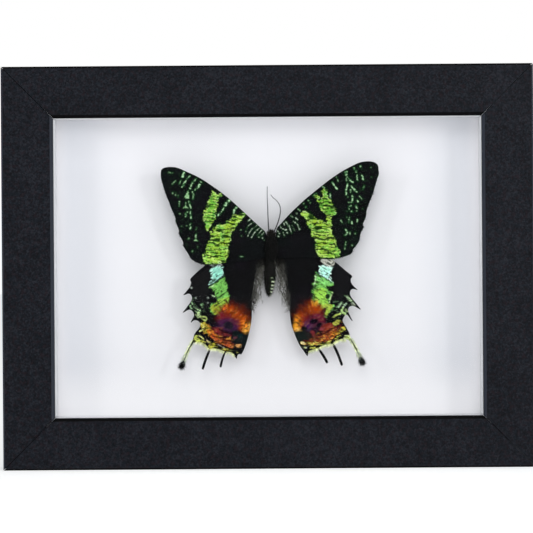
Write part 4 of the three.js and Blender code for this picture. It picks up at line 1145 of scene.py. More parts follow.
def flatHair(name, path, way, depthY, kind):
    # hair that grows from a path on a wing and lies nearly in the wing's plane
    kind = {**usualHair, **kind}
    lock = kind["lock"]
    locks = kind["count"] // lock
    rng = np.random.default_rng(kind["seed"])
    root, along, side = alongPath(smoothOpen(path), locks, rng, kind["spread"], kind["first"])
    if callable(way):
        ways = way(root, along, side)
    else:
        ways = np.tile(np.array(way, float), (locks, 1))
    ways = ways + rng.normal(0, kind["fan"], (locks, 2))
    heading = planWay(ways)
    heading = heading / np.linalg.norm(heading, axis=1)[:, None]
    heading[:, 1] += rng.normal(0, kind["lift"], locks)
    roots = onSheet(root, depthY + kind["depth"])
    roots[:, 1] += rng.uniform(*kind["rootDepths"], locks)
    shortest, longest = kind["length"]
    lengths = shortest + (longest - shortest) * rng.uniform(0, 1, locks) ** kind["few"]
    tone = patches(roots, kind["patch"], kind["seed"])
    if lock > 1:
        count = locks * lock
        roots, heading, lengths = (np.repeat(a, lock, axis=0) for a in (roots, heading, lengths))
        tone = np.repeat(rng.uniform(*kind["lockTones"], locks), lock)
        roots = roots + rng.normal(0, kind["lockSpread"], roots.shape)
        heading = heading + rng.normal(0, kind["lockFan"], heading.shape)
        lengths = lengths * rng.uniform(*kind["lockLengths"], count)
    return strands(name, roots, heading, lengths, kind, tone)


# Frame, glass, boards and back
rails = {
    "poreScale": 1350,
    "mottleScale": 420,
    "cloudScale": 60,
    "hueScale": 560,
    "shades": [(0.40, (0.0022, 0.0027, 0.0042)), (0.5, (0.0062, 0.0071, 0.0105)),
               (0.61, (0.0150, 0.0165, 0.0220))],
    "warm": (0.0125, 0.0072, 0.0100),
    "cool": (0.0048, 0.0082, 0.0125),
    # painted highlight on the upright bevels, painted shade on the level ones
    "uprightBevelHighlight": (0.034, 0.039, 0.052),
    "levelBevelShade": (0.0008, 0.0008, 0.0012),
    "filler": (0.045, 0.048, 0.055),
    "fillerWidth": (0.00016, 0.00034),
    "fillerCorner": (0.0945, 0.0965),
    "roughness": 0.5,
    "sheen": 0.055,
    "poreDepth": 0.00012,
    "edgeSoftness": 0.00008}


def railFinish():
    look = rails
    f = Finish("frame_black_lacquer")
    at = f.place()
    pores = f.noise(at, look["poreScale"], 2, 0.7)
    mottle = f.noise(at, look["mottleScale"], 3, 0.6)
    cloud = f.noise(at, look["cloudScale"], 2, 0.5)
    aside = f.node("ShaderNodeVectorMath", {"operation": "ADD"}, at, (3.1, 0.7, 1.9))
    hue = f.noise(aside, look["hueScale"], 2, 0.6)
    colour = f.shades(look["shades"], pores * 0.62 + mottle * 0.22 + cloud * 0.16)
    colour = f.mix(colour, look["warm"], hue.fit(0.52, 0.66) * 0.55)
    colour = f.mix(colour, look["cool"], hue.fit(0.48, 0.34) * 0.55)
    # painted light: the upright bevels are painted pale as a highlight, the level ones near black as shade
    east, front, up = f.parts(f.node("ShaderNodeNewGeometry", {}, out="Normal"))
    slanted = (front * -1.0).fit(0.2, 0.4) * (front * -1.0).fit(0.97, 0.9)
    colour = f.mix(colour, look["uprightBevelHighlight"], east.absolute().fit(0.35, 0.6) * slanted * 0.8)
    colour = f.mix(colour, look["levelBevelShade"], up.absolute().fit(0.35, 0.6) * slanted)
    # filler in the right hand mitres
    x, y, z = f.parts(at)
    off = (x - openingWidth / 2 * mm) - ((z - midZ * mm).absolute() - openingHeight / 2 * mm)
    seam = (off.absolute() + (mottle - 0.5) * 0.0006).fit(*look["fillerWidth"], 1.0, 0.0)
    upper = (z - midZ * mm).fit(0.0, 0.001) * 0.4
    lower = x.fit(*look["fillerCorner"]) * (midZ * mm - z).fit(0.0, 0.001)
    colour = f.mix(colour, look["filler"], seam * (upper + lower) * x.fit(0.0, 0.001) * 0.8)
    return f.surface(Base_Color=colour, Roughness=look["roughness"] + mottle * 0.2,
                     Specular_IOR_Level=look["sheen"],
                     Normal=f.bump(pores * 0.6 + mottle * 0.5, 0.4, look["poreDepth"]))


def softenEdges(obj):
    soften = obj.modifiers.new("soft_edges", "BEVEL")
    soften.width = rails["edgeSoftness"]
    soften.segments = 2
    soften.limit_method = "ANGLE"
    soften.angle_limit = math.radians(40)
    soften.harden_normals = True


glass = {"tint": (0.985, 0.992, 0.99, 1), "index": 1.08, "smearScale": 60, "smear": 0.012}


def glassFinish():
    # thin coated picture glass: little comes back head-on
    f = Finish("picture_glass")
    smear = f.noise(f.place(), glass["smearScale"], 3, 0.6)
    return f.surface(Base_Color=glass["tint"], Roughness=smear.fit(0.55, 0.8, 0.0, glass["smear"]),
                     IOR=glass["index"], Transmission_Weight=1.0)


card = {
    "spacer": {"colour": (0.83, 0.835, 0.85), "tooth": 0.25},
    "board": {"colour": (0.815, 0.806, 0.838), "tooth": 0.15},
    "fibreScale": 1700,
    "cloudScale": 18,
    # painted shade towards the sides and painted light along the bottom of the board
    "sideShadeTone": (0.84, 0.86, 0.88),
    "sideFrom": (0.056, 0.078),     # metres off the middle, in to full
    "sideTo": (0.085, 0.079),
    "footLightColour": (0.93, 0.915, 0.935),
    "footFrom": (36, 57),           # mm below the middle
    "roughness": 0.86,
    "toothDepth": 0.00004}


def cardFinish(name, sheet):
    base = card[sheet]["colour"]
    f = Finish(name)
    at = f.place()
    fibre = f.noise(f.stretch(at, (1, 1, 3)), card["fibreScale"], 3, 0.6)
    cloud = f.noise(at, card["cloudScale"], 2, 0.5)
    colour = f.mix(base, tuple(c * 0.93 for c in base), fibre * 0.3 + cloud * 0.2)
    if sheet == "board":
        # painted shade: darker towards the sides; painted light: lighter along the bottom
        x, y, z = f.parts(at)
        side = x.absolute().fit(*card["sideFrom"]) * x.absolute().fit(*card["sideTo"])
        colour = f.mix(colour, toned(base, card["sideShadeTone"]), side * 0.8)
        footLight = z.fit(*((midZ - below) * mm for below in card["footFrom"]))
        colour = f.mix(colour, card["footLightColour"], footLight * 0.85)
    return f.surface(Base_Color=colour, Roughness=card["roughness"] + fibre * 0.1, Specular_IOR_Level=0.2,
                     Normal=f.bump(fibre, card[sheet]["tooth"], card["toothDepth"]))


backing = {
    "fibreScale": 620,
    "fleckScale": 2400,
    "cloudScale": 22,
    "shades": [(0.25, (0.055, 0.029, 0.014)), (0.5, (0.125, 0.069, 0.034)), (0.78, (0.225, 0.14, 0.077))],
    "roughness": 0.72,
    "fibreDepth": 0.0002}


def hardboardFinish():
    f = Finish("hardboard_brown")
    at = f.place()
    fibre = f.noise(f.stretch(at, (1, 1, 2.2)), backing["fibreScale"], 5, 0.7)
    fleck = f.noise(at, backing["fleckScale"], 2, 0.6)
    cloud = f.noise(at, backing["cloudScale"], 3, 0.55)
    colour = f.shades(backing["shades"], fibre * 0.6 + fleck * 0.25 + cloud * 0.15)
    return f.surface(Base_Color=colour, Roughness=backing["roughness"] + fleck * 0.2,
                     Normal=f.bump(fibre + fleck * 0.5, 0.5, backing["fibreDepth"]))


fixings = {
    "brushScale": 900,
    "dullScale": 260,
    "shades": [(0.3, (0.30, 0.29, 0.27)), (0.7, (0.56, 0.55, 0.52))],
    "roughness": 0.26,
    "brushDepth": 0.00005}


def steelFinish():
    f = Finish("plated_steel")
    at = f.place()
    brushed = f.noise(f.stretch(at, (1, 1, 14)), fixings["brushScale"], 2, 0.6)
    dull = f.noise(at, fixings["dullScale"], 3, 0.6)
    colour = f.shades(fixings["shades"], brushed * 0.5 + dull * 0.5)
    return f.surface(Base_Color=colour, Metallic=1.0, Roughness=fixings["roughness"] + dull * 0.3,
                     Normal=f.bump(brushed, 0.2, fixings["brushDepth"]))


post = {"cellScale": 1900.0, "pale": (0.86, 0.86, 0.84), "dark": (0.7, 0.7, 0.69), "roughness": 0.9}


def foamFinish():
    f = Finish("white_foam")
    cell = f.node("ShaderNodeTexVoronoi", {}, Vector=f.place(), Scale=post["cellScale"])
    colour = f.mix(post["pale"], post["dark"], cell.fit(0.1, 0.6))
    return f.surface(Base_Color=colour, Roughness=post["roughness"], Normal=f.bump(cell, 0.6, 0.0002))


blackLacquer = railFinish()
for side in ("top", "bottom", "left", "right"):
    dress(f"frame_rail_{side}", blackLacquer)
    softenEdges(nodes[f"frame_rail_{side}"])
    dress(f"spacer_{side}", cardFinish(f"spacer_card_{side}", "spacer"))
dress("mount_board", cardFinish("mount_board_white", "board"))
dress("glass_pane", glassFinish())
nodes["glass_pane"].visible_shadow = False        # light falls through it on the board
nodes["glass_pane"].visible_diffuse = False
nodes["glass_pane"].visible_glossy = False
dress("back_board", hardboardFinish())
platedSteel = steelFinish()
for name in nodes:
    if name.startswith("tab_") or name == "sawtooth_hanger":
        dress(name, platedSteel)
dress("foam_post", foamFinish())
print("frame dressed")


wingScales = {
    "scaleScale": 5200,
    "blotchScale": 900,
    "rowStep": 9.0,
    "rowWander": 5.0,
    "root": (271.5, 245),       # the rows run round this point of the drawing grid
    "glint": (0.10, 0.11, 0.12),
    "vein": (0.004, 0.0045, 0.005),
    "roughness": 0.55,
    "sheen": 0.01,
    "relief": 0.00006}


def wingFinish(name):
    look = wingScales
    f = Finish(name)
    at = f.place()
    # single scales and their rows, finer than the painted grain
    scales = f.noise(at, look["scaleScale"], 1, 0.5)
    blotch = f.noise(at, look["blotchScale"], 2, 0.6)
    wave = f.attribute("run") * look["rowStep"] + blotch * look["rowWander"]
    row = f.node("ShaderNodeMath", {"operation": "SINE"}, wave) * 0.5 + 0.5
    tone = 0.84 + scales * 0.26 + row * 0.08
    colour = f.mix(f.attribute("paint", "Color"), (0.0, 0.0, 0.0), (1.0 - tone).clamp())
    colour = f.mix(colour, look["glint"], scales.fit(0.6, 0.8) * 0.012)
    vein = f.attribute("veinNear").fit(0.0, 0.55, 1.0, 0.0)
    colour = f.mix(colour, look["vein"], vein * 0.4)
    return f.surface(Base_Color=colour, Roughness=look["roughness"] + scales * 0.25,
                     Specular_IOR_Level=look["sheen"],
                     Normal=f.bump(scales * 0.5 + row * 0.35 + vein * 0.9, 0.35, look["relief"]))


def addWing(node, edge, veins, depthY, painter, marks, finish):
    obj, spots, which, toVein = wingSheet(node + "_sheet", edge, veins, depthY)
    rootU, rootV = wingScales["root"]
    storeColour(obj, "paint", painter(spots, *marks).colour[which])
    storeValue(obj, "veinNear", toVein[which])
    storeValue(obj, "run", np.hypot(spots[:, 0] - rootU, spots[:, 1] - rootV)[which])
    obj.data.materials.append(finish.material)
    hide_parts(node)
    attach(obj, "root")
    print(node, len(obj.data.polygons), "faces")


foreScales = wingFinish("forewing_scales")
hindScales = wingFinish("hindwing_scales")
addWing("forewing_left", leftForeEdge, leftForeVeins, foreWingY, foreWingPaint,
        (leftMainBand, leftOuterBand, leftBandLines, leftDashes, leftWedges), foreScales)
addWing("forewing_right", rightForeEdge, rightForeVeins, foreWingY, foreWingPaint,
        (rightMainBand, rightOuterBand, rightBandLines, rightDashes), foreScales)
addWing("hindwing_left", leftHindEdge, leftHindVeins, hindWingY, hindWingPaint,
        (leftHindMarks, leftGlow, "left"), hindScales)
addWing("hindwing_right", rightHindEdge, rightHindVeins, hindWingY, hindWingPaint,
        (rightHindMarks, rightGlow, "right"), hindScales)


def hairFinish(name, rough=0.6, thin=0.5, glow=0.0):
    # each hair thins out towards its tip
    f = Finish(name)
    fleck = f.noise(f.place(), 2600, 1)
    colour = f.mix(f.attribute("tint", "Color"), (0, 0, 0), fleck.fit(0.45, 0.7, 0, 0.3))
    return f.surface(Base_Color=colour, Roughness=rough + fleck * 0.1, Specular_IOR_Level=0.1,
                     Emission_Color=colour, Emission_Strength=glow,
                     Alpha=f.attribute("along").fit(0.25, 1.0, 1.0, 1.0 - thin))


def addHair(obj, finish):
    obj.data.materials.append(finish.material)
    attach(obj, "root")


brownHair = hairFinish("brown_hair", 0.6, 0.55)
silkHair = hairFinish("silky_hair", 0.6, 0.8)
darkHair = hairFinish("dark_hair", 0.6, 0.3)
paleHair = hairFinish("pale_fringe", 0.7, 0.6, 0.3)        # painted light: the pale hair glows a little, standing in for light shining through it

# Silky hair along the inner edges of the hindwings, thinning towards the body.
# Sideways is how far it leans away from the body for each step down
innerHair = {
    "hair_inner": {
        "count": 1000, "length": (0.6, 2.8), "width": 0.09, "root": (9, 8, 8), "tip": (48, 47, 44),
        "seed": 51, "spread": 0.8, "fan": 0.3, "lift": 0.08, "bend": 0.22, "few": 1.6, "first": 1.4,
        "lock": 4, "sideways": 0.75, "finish": brownHair},
    "hair_wisp": {
        "count": 800, "length": (0.8, 3.0), "width": 0.075, "root": (20, 20, 19), "tip": (146, 145, 138),
        "seed": 57, "spread": 0.9, "fan": 0.34, "lift": 0.1, "bend": 0.32, "few": 1.5, "first": 1.1,
        "lock": 4, "sideways": 0.5, "finish": silkHair},
    "hair_silk": {
        "count": 1500, "shortest": 1.0, "longest": {"left": 5.6, "right": 6.4}, "width": 0.07,
        "root": (30, 30, 27), "tip": (176, 175, 163), "seed": 59, "spread": 2.2, "fan": 0.24, "lift": 0.08,
        "bend": 0.2, "few": 2.0, "first": 1.7, "lock": 3, "depth": 0.1, "sideways": -0.32,
        "finish": silkHair},
    "hair_stray": {
        "count": 40, "length": (1.2, 3.0), "width": 0.12, "root": (16, 14, 13), "tip": (52, 48, 44),
        "seed": 60, "fan": 0.5, "lift": 0.12, "bend": 0.6, "sideways": 1.1, "finish": darkHair},
    "fur_root": {
        "count": 700, "length": (2.6, 6.0), "width": 0.12, "root": (11, 10, 10), "tip": (24, 22, 20),
        "seed": 58, "spread": 2.0, "fan": 0.2, "lift": 0.05, "bend": 0.15, "few": 1.3, "depth": -0.3,
        "sideways": -0.16, "finish": darkHair}}
innerEdge = {
    "left": [(262, 257), (259.2, 265), (256.4, 273), (254.6, 283), (253.2, 293), (252.2, 302), (251.8, 309)],
    "right": [(280, 259), (283.2, 267), (285.8, 276), (287.8, 286), (289.2, 296), (289.8, 304),
              (290.2, 310)]}
# how far off the middle each line runs, and v
silkMiddle = 270.5
silkLine = [(5.5, 255), (7, 261), (8, 269), (9.5, 279), (12.5, 292), (14.5, 300)]
furLine = [(9.5, 246), (8, 252), (6.4, 258)]

for side, turn in (("left", 1), ("right", -1)):
    edge = innerEdge[side]
    paths = {
        "hair_inner": edge[:6],
        "hair_wisp": edge[1:],
        "hair_silk": [(silkMiddle - turn * off, v) for off, v in silkLine],
        "hair_stray": edge[4:],
        "fur_root": [(bodyLine - turn * off, v) for off, v in furLine]}
    for tuft, path in paths.items():
        kind = dict(innerHair[tuft])
        if "longest" in kind:
            kind["length"] = (kind["shortest"], kind["longest"][side])
        hair = flatHair(f"{tuft}_{side}", path, (kind["sideways"] * turn, 1), hindWingY, kind)
        addHair(hair, kind["finish"])

# Pale fringe on the tails, a dark club at the end of each
tailHair = {
    "fringe_tail": {"count": 1000, "length": (0.4, 1.3), "width": 0.055, "root": (208, 222, 158),
                    "tip": (238, 243, 222), "seed": 53, "spread": 0.25, "finish": paleHair},
    "club_tail": {"count": 1100, "length": (0.9, 2.7), "width": 0.09, "root": (26, 32, 33),
                  "tip": (8, 9, 11), "seed": 54, "fan": 0.2, "lift": 0.05, "finish": darkHair},
    "club_pale": {"count": 320, "length": (1.2, 3.2), "width": 0.06, "root": (200, 208, 190),
                  "tip": (84, 98, 96), "seed": 56, "spread": 0.7, "fan": 0.12, "lift": 0.05, "bend": 0.1,
                  "finish": paleHair}}
tails = {
    "left": [(193.4, 340.6), (190.2, 346), (187, 352.6), (184, 360.4), (182.2, 365)],
    "right": [(350.6, 338.6), (353.8, 344.4), (356.8, 350.4), (359.8, 356.6), (361.6, 361)]}


def outwards(root, along, side):
    # by turns to either side of the tail
    flip = np.where(np.arange(len(root)) % 2, 1, -1)[:, None]
    root += side * flip * 0.75
    return along + side * flip * 0.8


def fanned(root, along, side):
    flip = np.linspace(-1, 1, len(root))[:, None]
    return along + side * flip * 0.62


for side, tail in tails.items():
    tufts = (("fringe_tail", tail[:4], outwards),
             ("club_tail", tail[3:], fanned),
             ("club_pale", tail[2:4], fanned))
    for tuft, path, way in tufts:
        kind = tailHair[tuft]
        addHair(flatHair(f"{tuft}_{side}", path, way, hindWingY, kind), kind["finish"])

hindFringe = {"count": 1400, "length": (0.4, 1.8), "width": 0.055, "root": (206, 216, 132),
              "tip": (244, 247, 232), "seed": 55, "spread": 0.4}
hindMargins = {
    "left": [(195, 341.6), (199, 341.8), (204.5, 344.2), (208.4, 348.2), (213, 348.6), (218.5, 349.2),
             (224, 351.4), (230, 352), (235, 355.6)],
    "right": [(345.6, 339.6), (340, 339.6), (334.4, 342.2), (330, 344), (324, 345.2), (318.6, 347.8),
              (313, 349.6), (308.6, 351.2)]}
for side, path in hindMargins.items():
    hair = flatHair(f"fringe_margin_{side}", path, (0.0, 1.0), hindWingY, hindFringe)
    addHair(hair, paleHair)

foreFringe = {"count": 700, "length": (0.15, 0.5), "width": 0.05, "root": (14, 14, 16),
              "tip": (120, 124, 130), "seed": 66, "spread": 0.15, "fan": 0.2, "lift": 0.05, "bend": 0.1,
              "lock": 10}
foreMargins = {"left": (leftForeEdge[24:56], -1), "right": (rightForeEdge[19:46], 1)}
for side, (path, turn) in foreMargins.items():
    hair = flatHair(f"fringe_fore_{side}", path, (0.9 * turn, 0.35), foreWingY, foreFringe)
    addHair(hair, darkHair)
print("hair laid")


body = {
    # middle on the drawing grid, depth, half sizes in mm, tilt
    "thorax": ((271.5, 247), -3.6, (2.6, 2.7, 5.2), 0),
    "head": ((271.2, 234.3), -4.1, (1.4, 1.4, 1.5), 0),
    "abdomen": ((269.7, 275), -3.3, (2.15, 2.2, 8.0), 1.8)}
bodySurface = {
    "fuzzScale": 2600,
    "ringScale": 700,
    "shades": [(0.35, (0.0025, 0.0025, 0.0025)), (0.65, (0.008, 0.0072, 0.006))],
    "roughness": 0.7,
    "sheen": 0.12,
    "fuzzDepth": 0.0002,
    "around": 72,
    "along": 60}


def lobeShape(lobe, ball):
    # points and outward ways of a lobe for the directions of a ball
    middle, y, half, tilt = body[lobe]
    x, depth, z = ball.T
    swell = np.ones(len(ball))
    if lobe == "abdomen":
        back = clamped(-z)
        swell = (1 - 0.16 * back) * (1 + 0.05 * np.cos(z * half[2] * 4.7))         # rings
    elif lobe == "head":
        swell = 1 + 0.14 * np.exp(-((np.abs(x) - 0.78) / 0.25) ** 2)               # eyes
    points = np.stack([x * half[0] * swell, depth * half[1] * swell, z * half[2]], 1)
    out = ball / np.array(half)
    out = out / np.linalg.norm(out, axis=1)[:, None]
    t = math.radians(tilt)
    spin = np.array([[math.cos(t), 0, math.sin(t)], [0, 1, 0], [-math.sin(t), 0, math.cos(t)]])
    middleX, middleZ = plan(middle)[0]
    return points @ spin.T + (middleX, y, middleZ), out @ spin.T


def lobeSkin(lobe):
    around, along = bodySurface["around"], bodySurface["along"]
    a, b = np.meshgrid(2 * math.pi * np.arange(around) / around, math.pi * np.arange(1, along) / along)
    ball = np.stack([np.cos(a) * np.sin(b), np.sin(a) * np.sin(b), np.cos(b)], -1).reshape(-1, 3)
    ball = np.vstack([ball, (0, 0, 1), (0, 0, -1)])
    i, k = np.meshgrid(np.arange(around), np.arange(along - 2))
    i, k = i.ravel(), k.ravel()
    here, beside = k * around + i, k * around + (i + 1) % around
    faces = [np.stack([here, here + around, beside], 1),
             np.stack([beside, here + around, beside + around], 1)]
    i = np.arange(around)
    top = len(ball) - 2
    last = (along - 2) * around
    faces += [np.stack([np.full(around, top), i, (i + 1) % around], 1),
              np.stack([np.full(around, top + 1), last + (i + 1) % around, last + i], 1)]
    return lobeShape(lobe, ball)[0], np.vstack(faces)


def bodyFinish():
    look = bodySurface
    f = Finish("moth_body_dark")
    fuzz = f.noise(f.stretch(f.place(), (1, 1, 0.4)), look["fuzzScale"], 3, 0.6)
    ring = f.noise(f.place(), look["ringScale"], 2)
    colour = f.shades(look["shades"], fuzz * 0.7 + ring * 0.3)
    return f.surface(Base_Color=colour, Roughness=look["roughness"] + fuzz * 0.2,
                     Specular_IOR_Level=look["sheen"], Normal=f.bump(fuzz, 0.6, look["fuzzDepth"]))


bodyDark = bodyFinish()
for lobe in body:
    points, faces = lobeSkin(lobe)
    obj = meshObject(f"moth_{lobe}", points * mm, faces)
    obj.data.materials.append(bodyDark.material)
    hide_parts("moth_body")
    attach(obj, "root")

# Rake is how far the fur is combed towards the tail, stand how upright it is
bodyFur = {
    "thorax": {"count": 2600, "length": (0.8, 2.0), "width": 0.12, "root": (11, 11, 11),
               "tip": (25, 26, 25), "seed": 61, "rake": 0.7, "stand": 0.8},
    "head": {"count": 900, "length": (0.3, 0.9), "width": 0.09, "root": (22, 18, 15),
             "tip": (48, 40, 32), "seed": 62, "rake": -0.3, "stand": 0.55},
    "abdomen": {"count": 2000, "length": (0.4, 1.4), "width": 0.11, "root": (8, 8, 7),
                "tip": (22, 24, 17), "seed": 63, "rake": 1.2, "stand": 0.85}}


def evenBall(count):
    # even directions over a ball
    i = np.arange(count) + 0.5
    b, a = np.arccos(1 - 2 * i / count), math.pi * (1 + 5 ** 0.5) * i
    return np.stack([np.cos(a) * np.sin(b), np.sin(a) * np.sin(b), np.cos(b)], 1)


def fur(lobe):
    kind = {**usualHair, **bodyFur[lobe], "bend": 0.15}
    rng = np.random.default_rng(kind["seed"])
    roots, ways = lobeShape(lobe, evenBall(kind["count"]))
    ways = ways * kind["stand"] + np.array([0, 0, -kind["rake"]]) + rng.normal(0, 0.22, roots.shape)
    lengths = rng.uniform(*kind["length"], len(roots))
    return strands(f"fur_{lobe}", roots, ways, lengths, kind)


for lobe in bodyFur:
    addHair(fur(lobe), darkHair)

# Pale bars on the right of the last rings, dull green scales between them
ringScales = {
    # v, from u, to u, share of the places filled
    "bars": [(277.6, 270.8, 272.8, 0.4), (281.3, 271, 274.6, 0.9), (284.9, 271.2, 275.2, 1),
             (288.2, 270.6, 274.6, 1), (291.5, 270.2, 273.6, 0.9), (294.4, 269.6, 272, 0.6)],
    "barHeight": 0.52,
    "places": 60000,
    "greenFrom": (269.4, 275),
    "greenShare": 0.07,
    "pale": {**usualHair, "width": 0.085, "bend": 0.05, "root": (176, 202, 146), "tip": (246, 250, 232),
             "seed": 64},
    "green": {**usualHair, "width": 0.09, "bend": 0.1, "root": (16, 34, 12), "tip": (46, 72, 30),
              "seed": 66}}


def ringBarsAndGreen():
    rng = np.random.default_rng(ringScales["pale"]["seed"])
    points, ways = lobeShape("abdomen", evenBall(ringScales["places"]))
    u, v = unplan(points[:, [0, 2]]).T
    facing = ways[:, 1] < 0.3

    def laid(name, picked, stand, sideways, loose, shortest, longest, kind):
        heads = ways[picked] * stand + np.array([sideways, 0, -1]) + rng.normal(0, loose, (len(picked), 3))
        lengths = rng.uniform(shortest, longest, len(picked))
        return strands(name, points[picked] + heads * 0.04, heads, lengths, kind)

    picked = []
    for barV, low, high, share in ringScales["bars"]:
        near = (abs(v - barV) < ringScales["barHeight"]) & (u > low) & (u < high) & facing
        picked.append(np.flatnonzero(near & (rng.uniform(0, 1, len(points)) < share)))
    bars = laid("scale_bars", np.concatenate(picked), 0.35, 0.3, 0.16, 0.28, 0.5, ringScales["pale"])
    fromU, fromV = ringScales["greenFrom"]
    sparse = rng.uniform(0, 1, len(points)) < ringScales["greenShare"]
    picked = np.flatnonzero((v > fromV) & (u > fromU) & facing & sparse)
    green = laid("scale_green", picked, 0.4, 0.2, 0.3, 0.2, 0.5, ringScales["green"])
    return bars, green


paleBars, greenScales = ringBarsAndGreen()
addHair(paleBars, paleHair)
addHair(greenScales, darkHair)
print("body built")


antennae = {
    "routes": {                 # u and v on the drawing grid, y in mm
        "antenna_left": [(269, 232, -4.8), (268.5, 227, -5.0), (268, 217.3, -5.3), (267.6, 204.9, -5.5),
                         (267.2, 194.9, -5.5), (267.3, 186.6, -5.4)],
        "antenna_right": [(273.8, 232.4, -4.8), (275.6, 228.4, -5.0), (277.7, 223.1, -5.2),
                          (279.8, 215.7, -5.5), (280.4, 209.9, -5.6), (279.4, 204.9, -5.7),
                          (276.5, 200.7, -5.8), (273.1, 197.8, -5.8), (270.7, 194.9, -5.8)]},
    "radius": (0.27, 0.15),     # root and tip
    "joint": 0.1,
    "sides": 10,
    "steps": 14,
    "shades": [(0.3, (0.022, 0.022, 0.024)), (0.7, (0.075, 0.075, 0.080))],
    "tip": (0.26, 0.265, 0.28),
    "roughness": 0.5,
    "sheen": 0.3}


def hornFinish(name):
    look = antennae
    f = Finish(name)
    grey = f.noise(f.place(), 1400, 2, 0.6)
    colour = f.shades(look["shades"], grey)
    colour = f.mix(colour, look["tip"], f.attribute("along").fit(0.25, 1.0, 0.0, 0.7))
    return f.surface(Base_Color=colour, Roughness=look["roughness"] + grey * 0.2,
                     Specular_IOR_Level=look["sheen"], Normal=f.bump(grey, 0.3, 0.00005))


def antennaTube(node, route):
    path = smoothOpen(route, antennae["steps"])
    x, z = plan(path[:, :2]).T
    line = np.stack([x, path[:, 2], z], 1)
    way = np.gradient(line, axis=0)
    way /= np.linalg.norm(way, axis=1)[:, None]
    up = np.cross(way, (0, 1, 0))
    up /= np.linalg.norm(up, axis=1)[:, None]
    other = np.cross(way, up)
    count = len(line)
    t = np.linspace(0, 1, count)
    thick, thin = antennae["radius"]
    radius = (thick + (thin - thick) * t) * (1 + antennae["joint"] * np.cos(np.arange(count) * 2.1))
    sides = antennae["sides"]
    rings = [line + (up * math.cos(a) + other * math.sin(a)) * radius[:, None]
             for a in 2 * math.pi * np.arange(sides) / sides]
    points = np.stack(rings, 1).reshape(-1, 3)
    k, s = np.meshgrid(np.arange(count - 1), np.arange(sides), indexing="ij")
    k, s = k.ravel(), s.ravel()
    a, b = k * sides + s, k * sides + (s + 1) % sides
    skin = [np.stack([a, b + sides, b], 1), np.stack([a, a + sides, b + sides], 1)]
    end = (count - 1) * sides
    caps = [(0, i, i + 1) for i in range(1, sides - 1)]
    caps += [(end, end + i + 1, end + i) for i in range(1, sides - 1)]
    obj = meshObject(node + "_stem", points * mm, np.vstack(skin + [caps]))
    storeValue(obj, "along", np.repeat(t, sides))
    obj.data.materials.append(hornFinish(node + "_horn").material)
    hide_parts(node)
    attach(obj, "root")


for node, route in antennae["routes"].items():
    antennaTube(node, route)
print("antennae built")


floor = {"reach": 9, "pale": (0.93, 0.93, 0.93), "speck": (0.9, 0.9, 0.9), "glow": 0.5}


def addFloor():
    # wide flat floor, pale to the horizon
    r = floor["reach"]
    obj = meshObject("floor", np.array([(-r, -r, 0), (r, -r, 0), (r, r, 0), (-r, r, 0)], float),
                     np.array([(0, 1, 2, 3)]))
    f = Finish("pale_floor")
    colour = f.mix(floor["pale"], floor["speck"], f.noise(f.place(), 40, 2))
    f.surface(Base_Color=colour, Roughness=0.9, Emission_Color=(1, 1, 1, 1), Emission_Strength=floor["glow"])
    obj.data.materials.append(f.material)


addFloor()
centre = Vector((0, frameDepth / 2 * mm * -1, midZ * mm))

# Azimuth and elevation in degrees, distance and size in metres, power in watts
lamps = {
    "light_left": {"azimuth": -39, "elevation": 16, "distance": 1.6, "size": 0.22, "power": 1.8},
    "light_right": {"azimuth": 32, "elevation": 9, "distance": 1.6, "size": 0.22, "power": 2.7},
    "light_top": {"azimuth": 0, "elevation": 24, "distance": 1.6, "size": 0.8, "power": 6.1},
    "light_fill": {"azimuth": 0, "elevation": 4, "distance": 2.2, "size": 1.3, "power": 11.0,
                   "unseen": ("glossy", "transmission")},
    "light_sheen": {"azimuth": 50, "elevation": 25, "distance": 1.6, "size": 1.2, "power": 46.0,
                    "unseen": ("diffuse",)}}


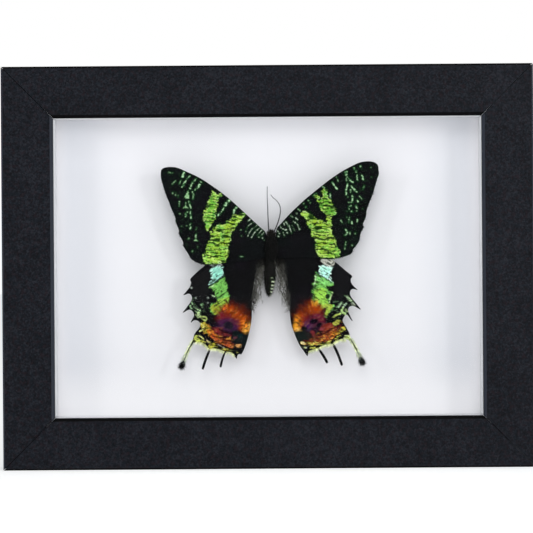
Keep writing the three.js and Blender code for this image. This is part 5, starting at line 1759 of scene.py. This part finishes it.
def softLight(name, settings):
    lamp = bpy.data.lights.new(name, "AREA")
    lamp.shape = "SQUARE"
    lamp.size = settings["size"]
    lamp.energy = settings["power"]
    obj = bpy.data.objects.new(name, lamp)
    a, e = math.radians(settings["azimuth"]), math.radians(settings["elevation"])
    way = Vector((math.sin(a) * math.cos(e), -math.cos(a) * math.cos(e), math.sin(e)))
    obj.location = centre + way * settings["distance"]
    obj.rotation_euler = (-way).to_track_quat("-Z", "Y").to_euler()
    bpy.context.collection.objects.link(obj)
    obj.visible_camera = False
    for part in settings.get("unseen", ()):
        setattr(obj, f"visible_{part}", False)


for name, settings in lamps.items():
    softLight(name, settings)

studio = {"light": (0.92, 0.97, 1.0, 1), "strength": 0.38, "backdrop": (1, 1, 1, 1)}
world = bpy.data.worlds.new("studio")
bpy.context.scene.world = world
world.use_nodes = True
tree = world.node_tree
soft = tree.nodes["Background"]
soft.inputs["Color"].default_value = studio["light"]
soft.inputs["Strength"].default_value = studio["strength"]
# the backdrop itself is white, its light on the object softer
white = tree.nodes.new("ShaderNodeBackground")
white.inputs["Color"].default_value = studio["backdrop"]
seen = tree.nodes.new("ShaderNodeLightPath")
choose = tree.nodes.new("ShaderNodeMixShader")
tree.links.new(seen.outputs["Is Camera Ray"], choose.inputs[0])
tree.links.new(soft.outputs[0], choose.inputs[1])
tree.links.new(white.outputs[0], choose.inputs[2])
tree.links.new(choose.outputs[0], tree.nodes["World Output"].inputs[0])
print("floor and lights set")

view = {
    "distance": 1.3,
    "roll": 0.42,               # degrees
    "sensor": 36,
    "pixels": 533,              # the render is square
    "pixelSize": 0.396,         # mm at the middle of the frame
    "middle": (268.2, 266.85),  # pixel of the middle of the frame
    "nearest": 0.05}
camera = bpy.data.objects.new("camera", bpy.data.cameras.new("camera"))
bpy.context.collection.objects.link(camera)
pixels = view["pixels"]
camera.data.sensor_width = view["sensor"]
camera.data.lens = view["sensor"] * view["distance"] / (pixels * view["pixelSize"] * mm)
camera.location = centre + Vector((0, -view["distance"], 0))
camera.rotation_euler = (math.radians(90), 0, 0)
camera.rotation_euler.rotate_axis("Z", math.radians(-view["roll"]))
camera.data.shift_x = -(view["middle"][0] - pixels / 2) / pixels
camera.data.shift_y = (view["middle"][1] - pixels / 2) / pixels
camera.data.clip_start = view["nearest"]
bpy.context.scene.camera = camera
bpy.context.scene.view_settings.view_transform = "Standard"
bpy.context.scene.view_settings.look = "None"

print("scene ready")
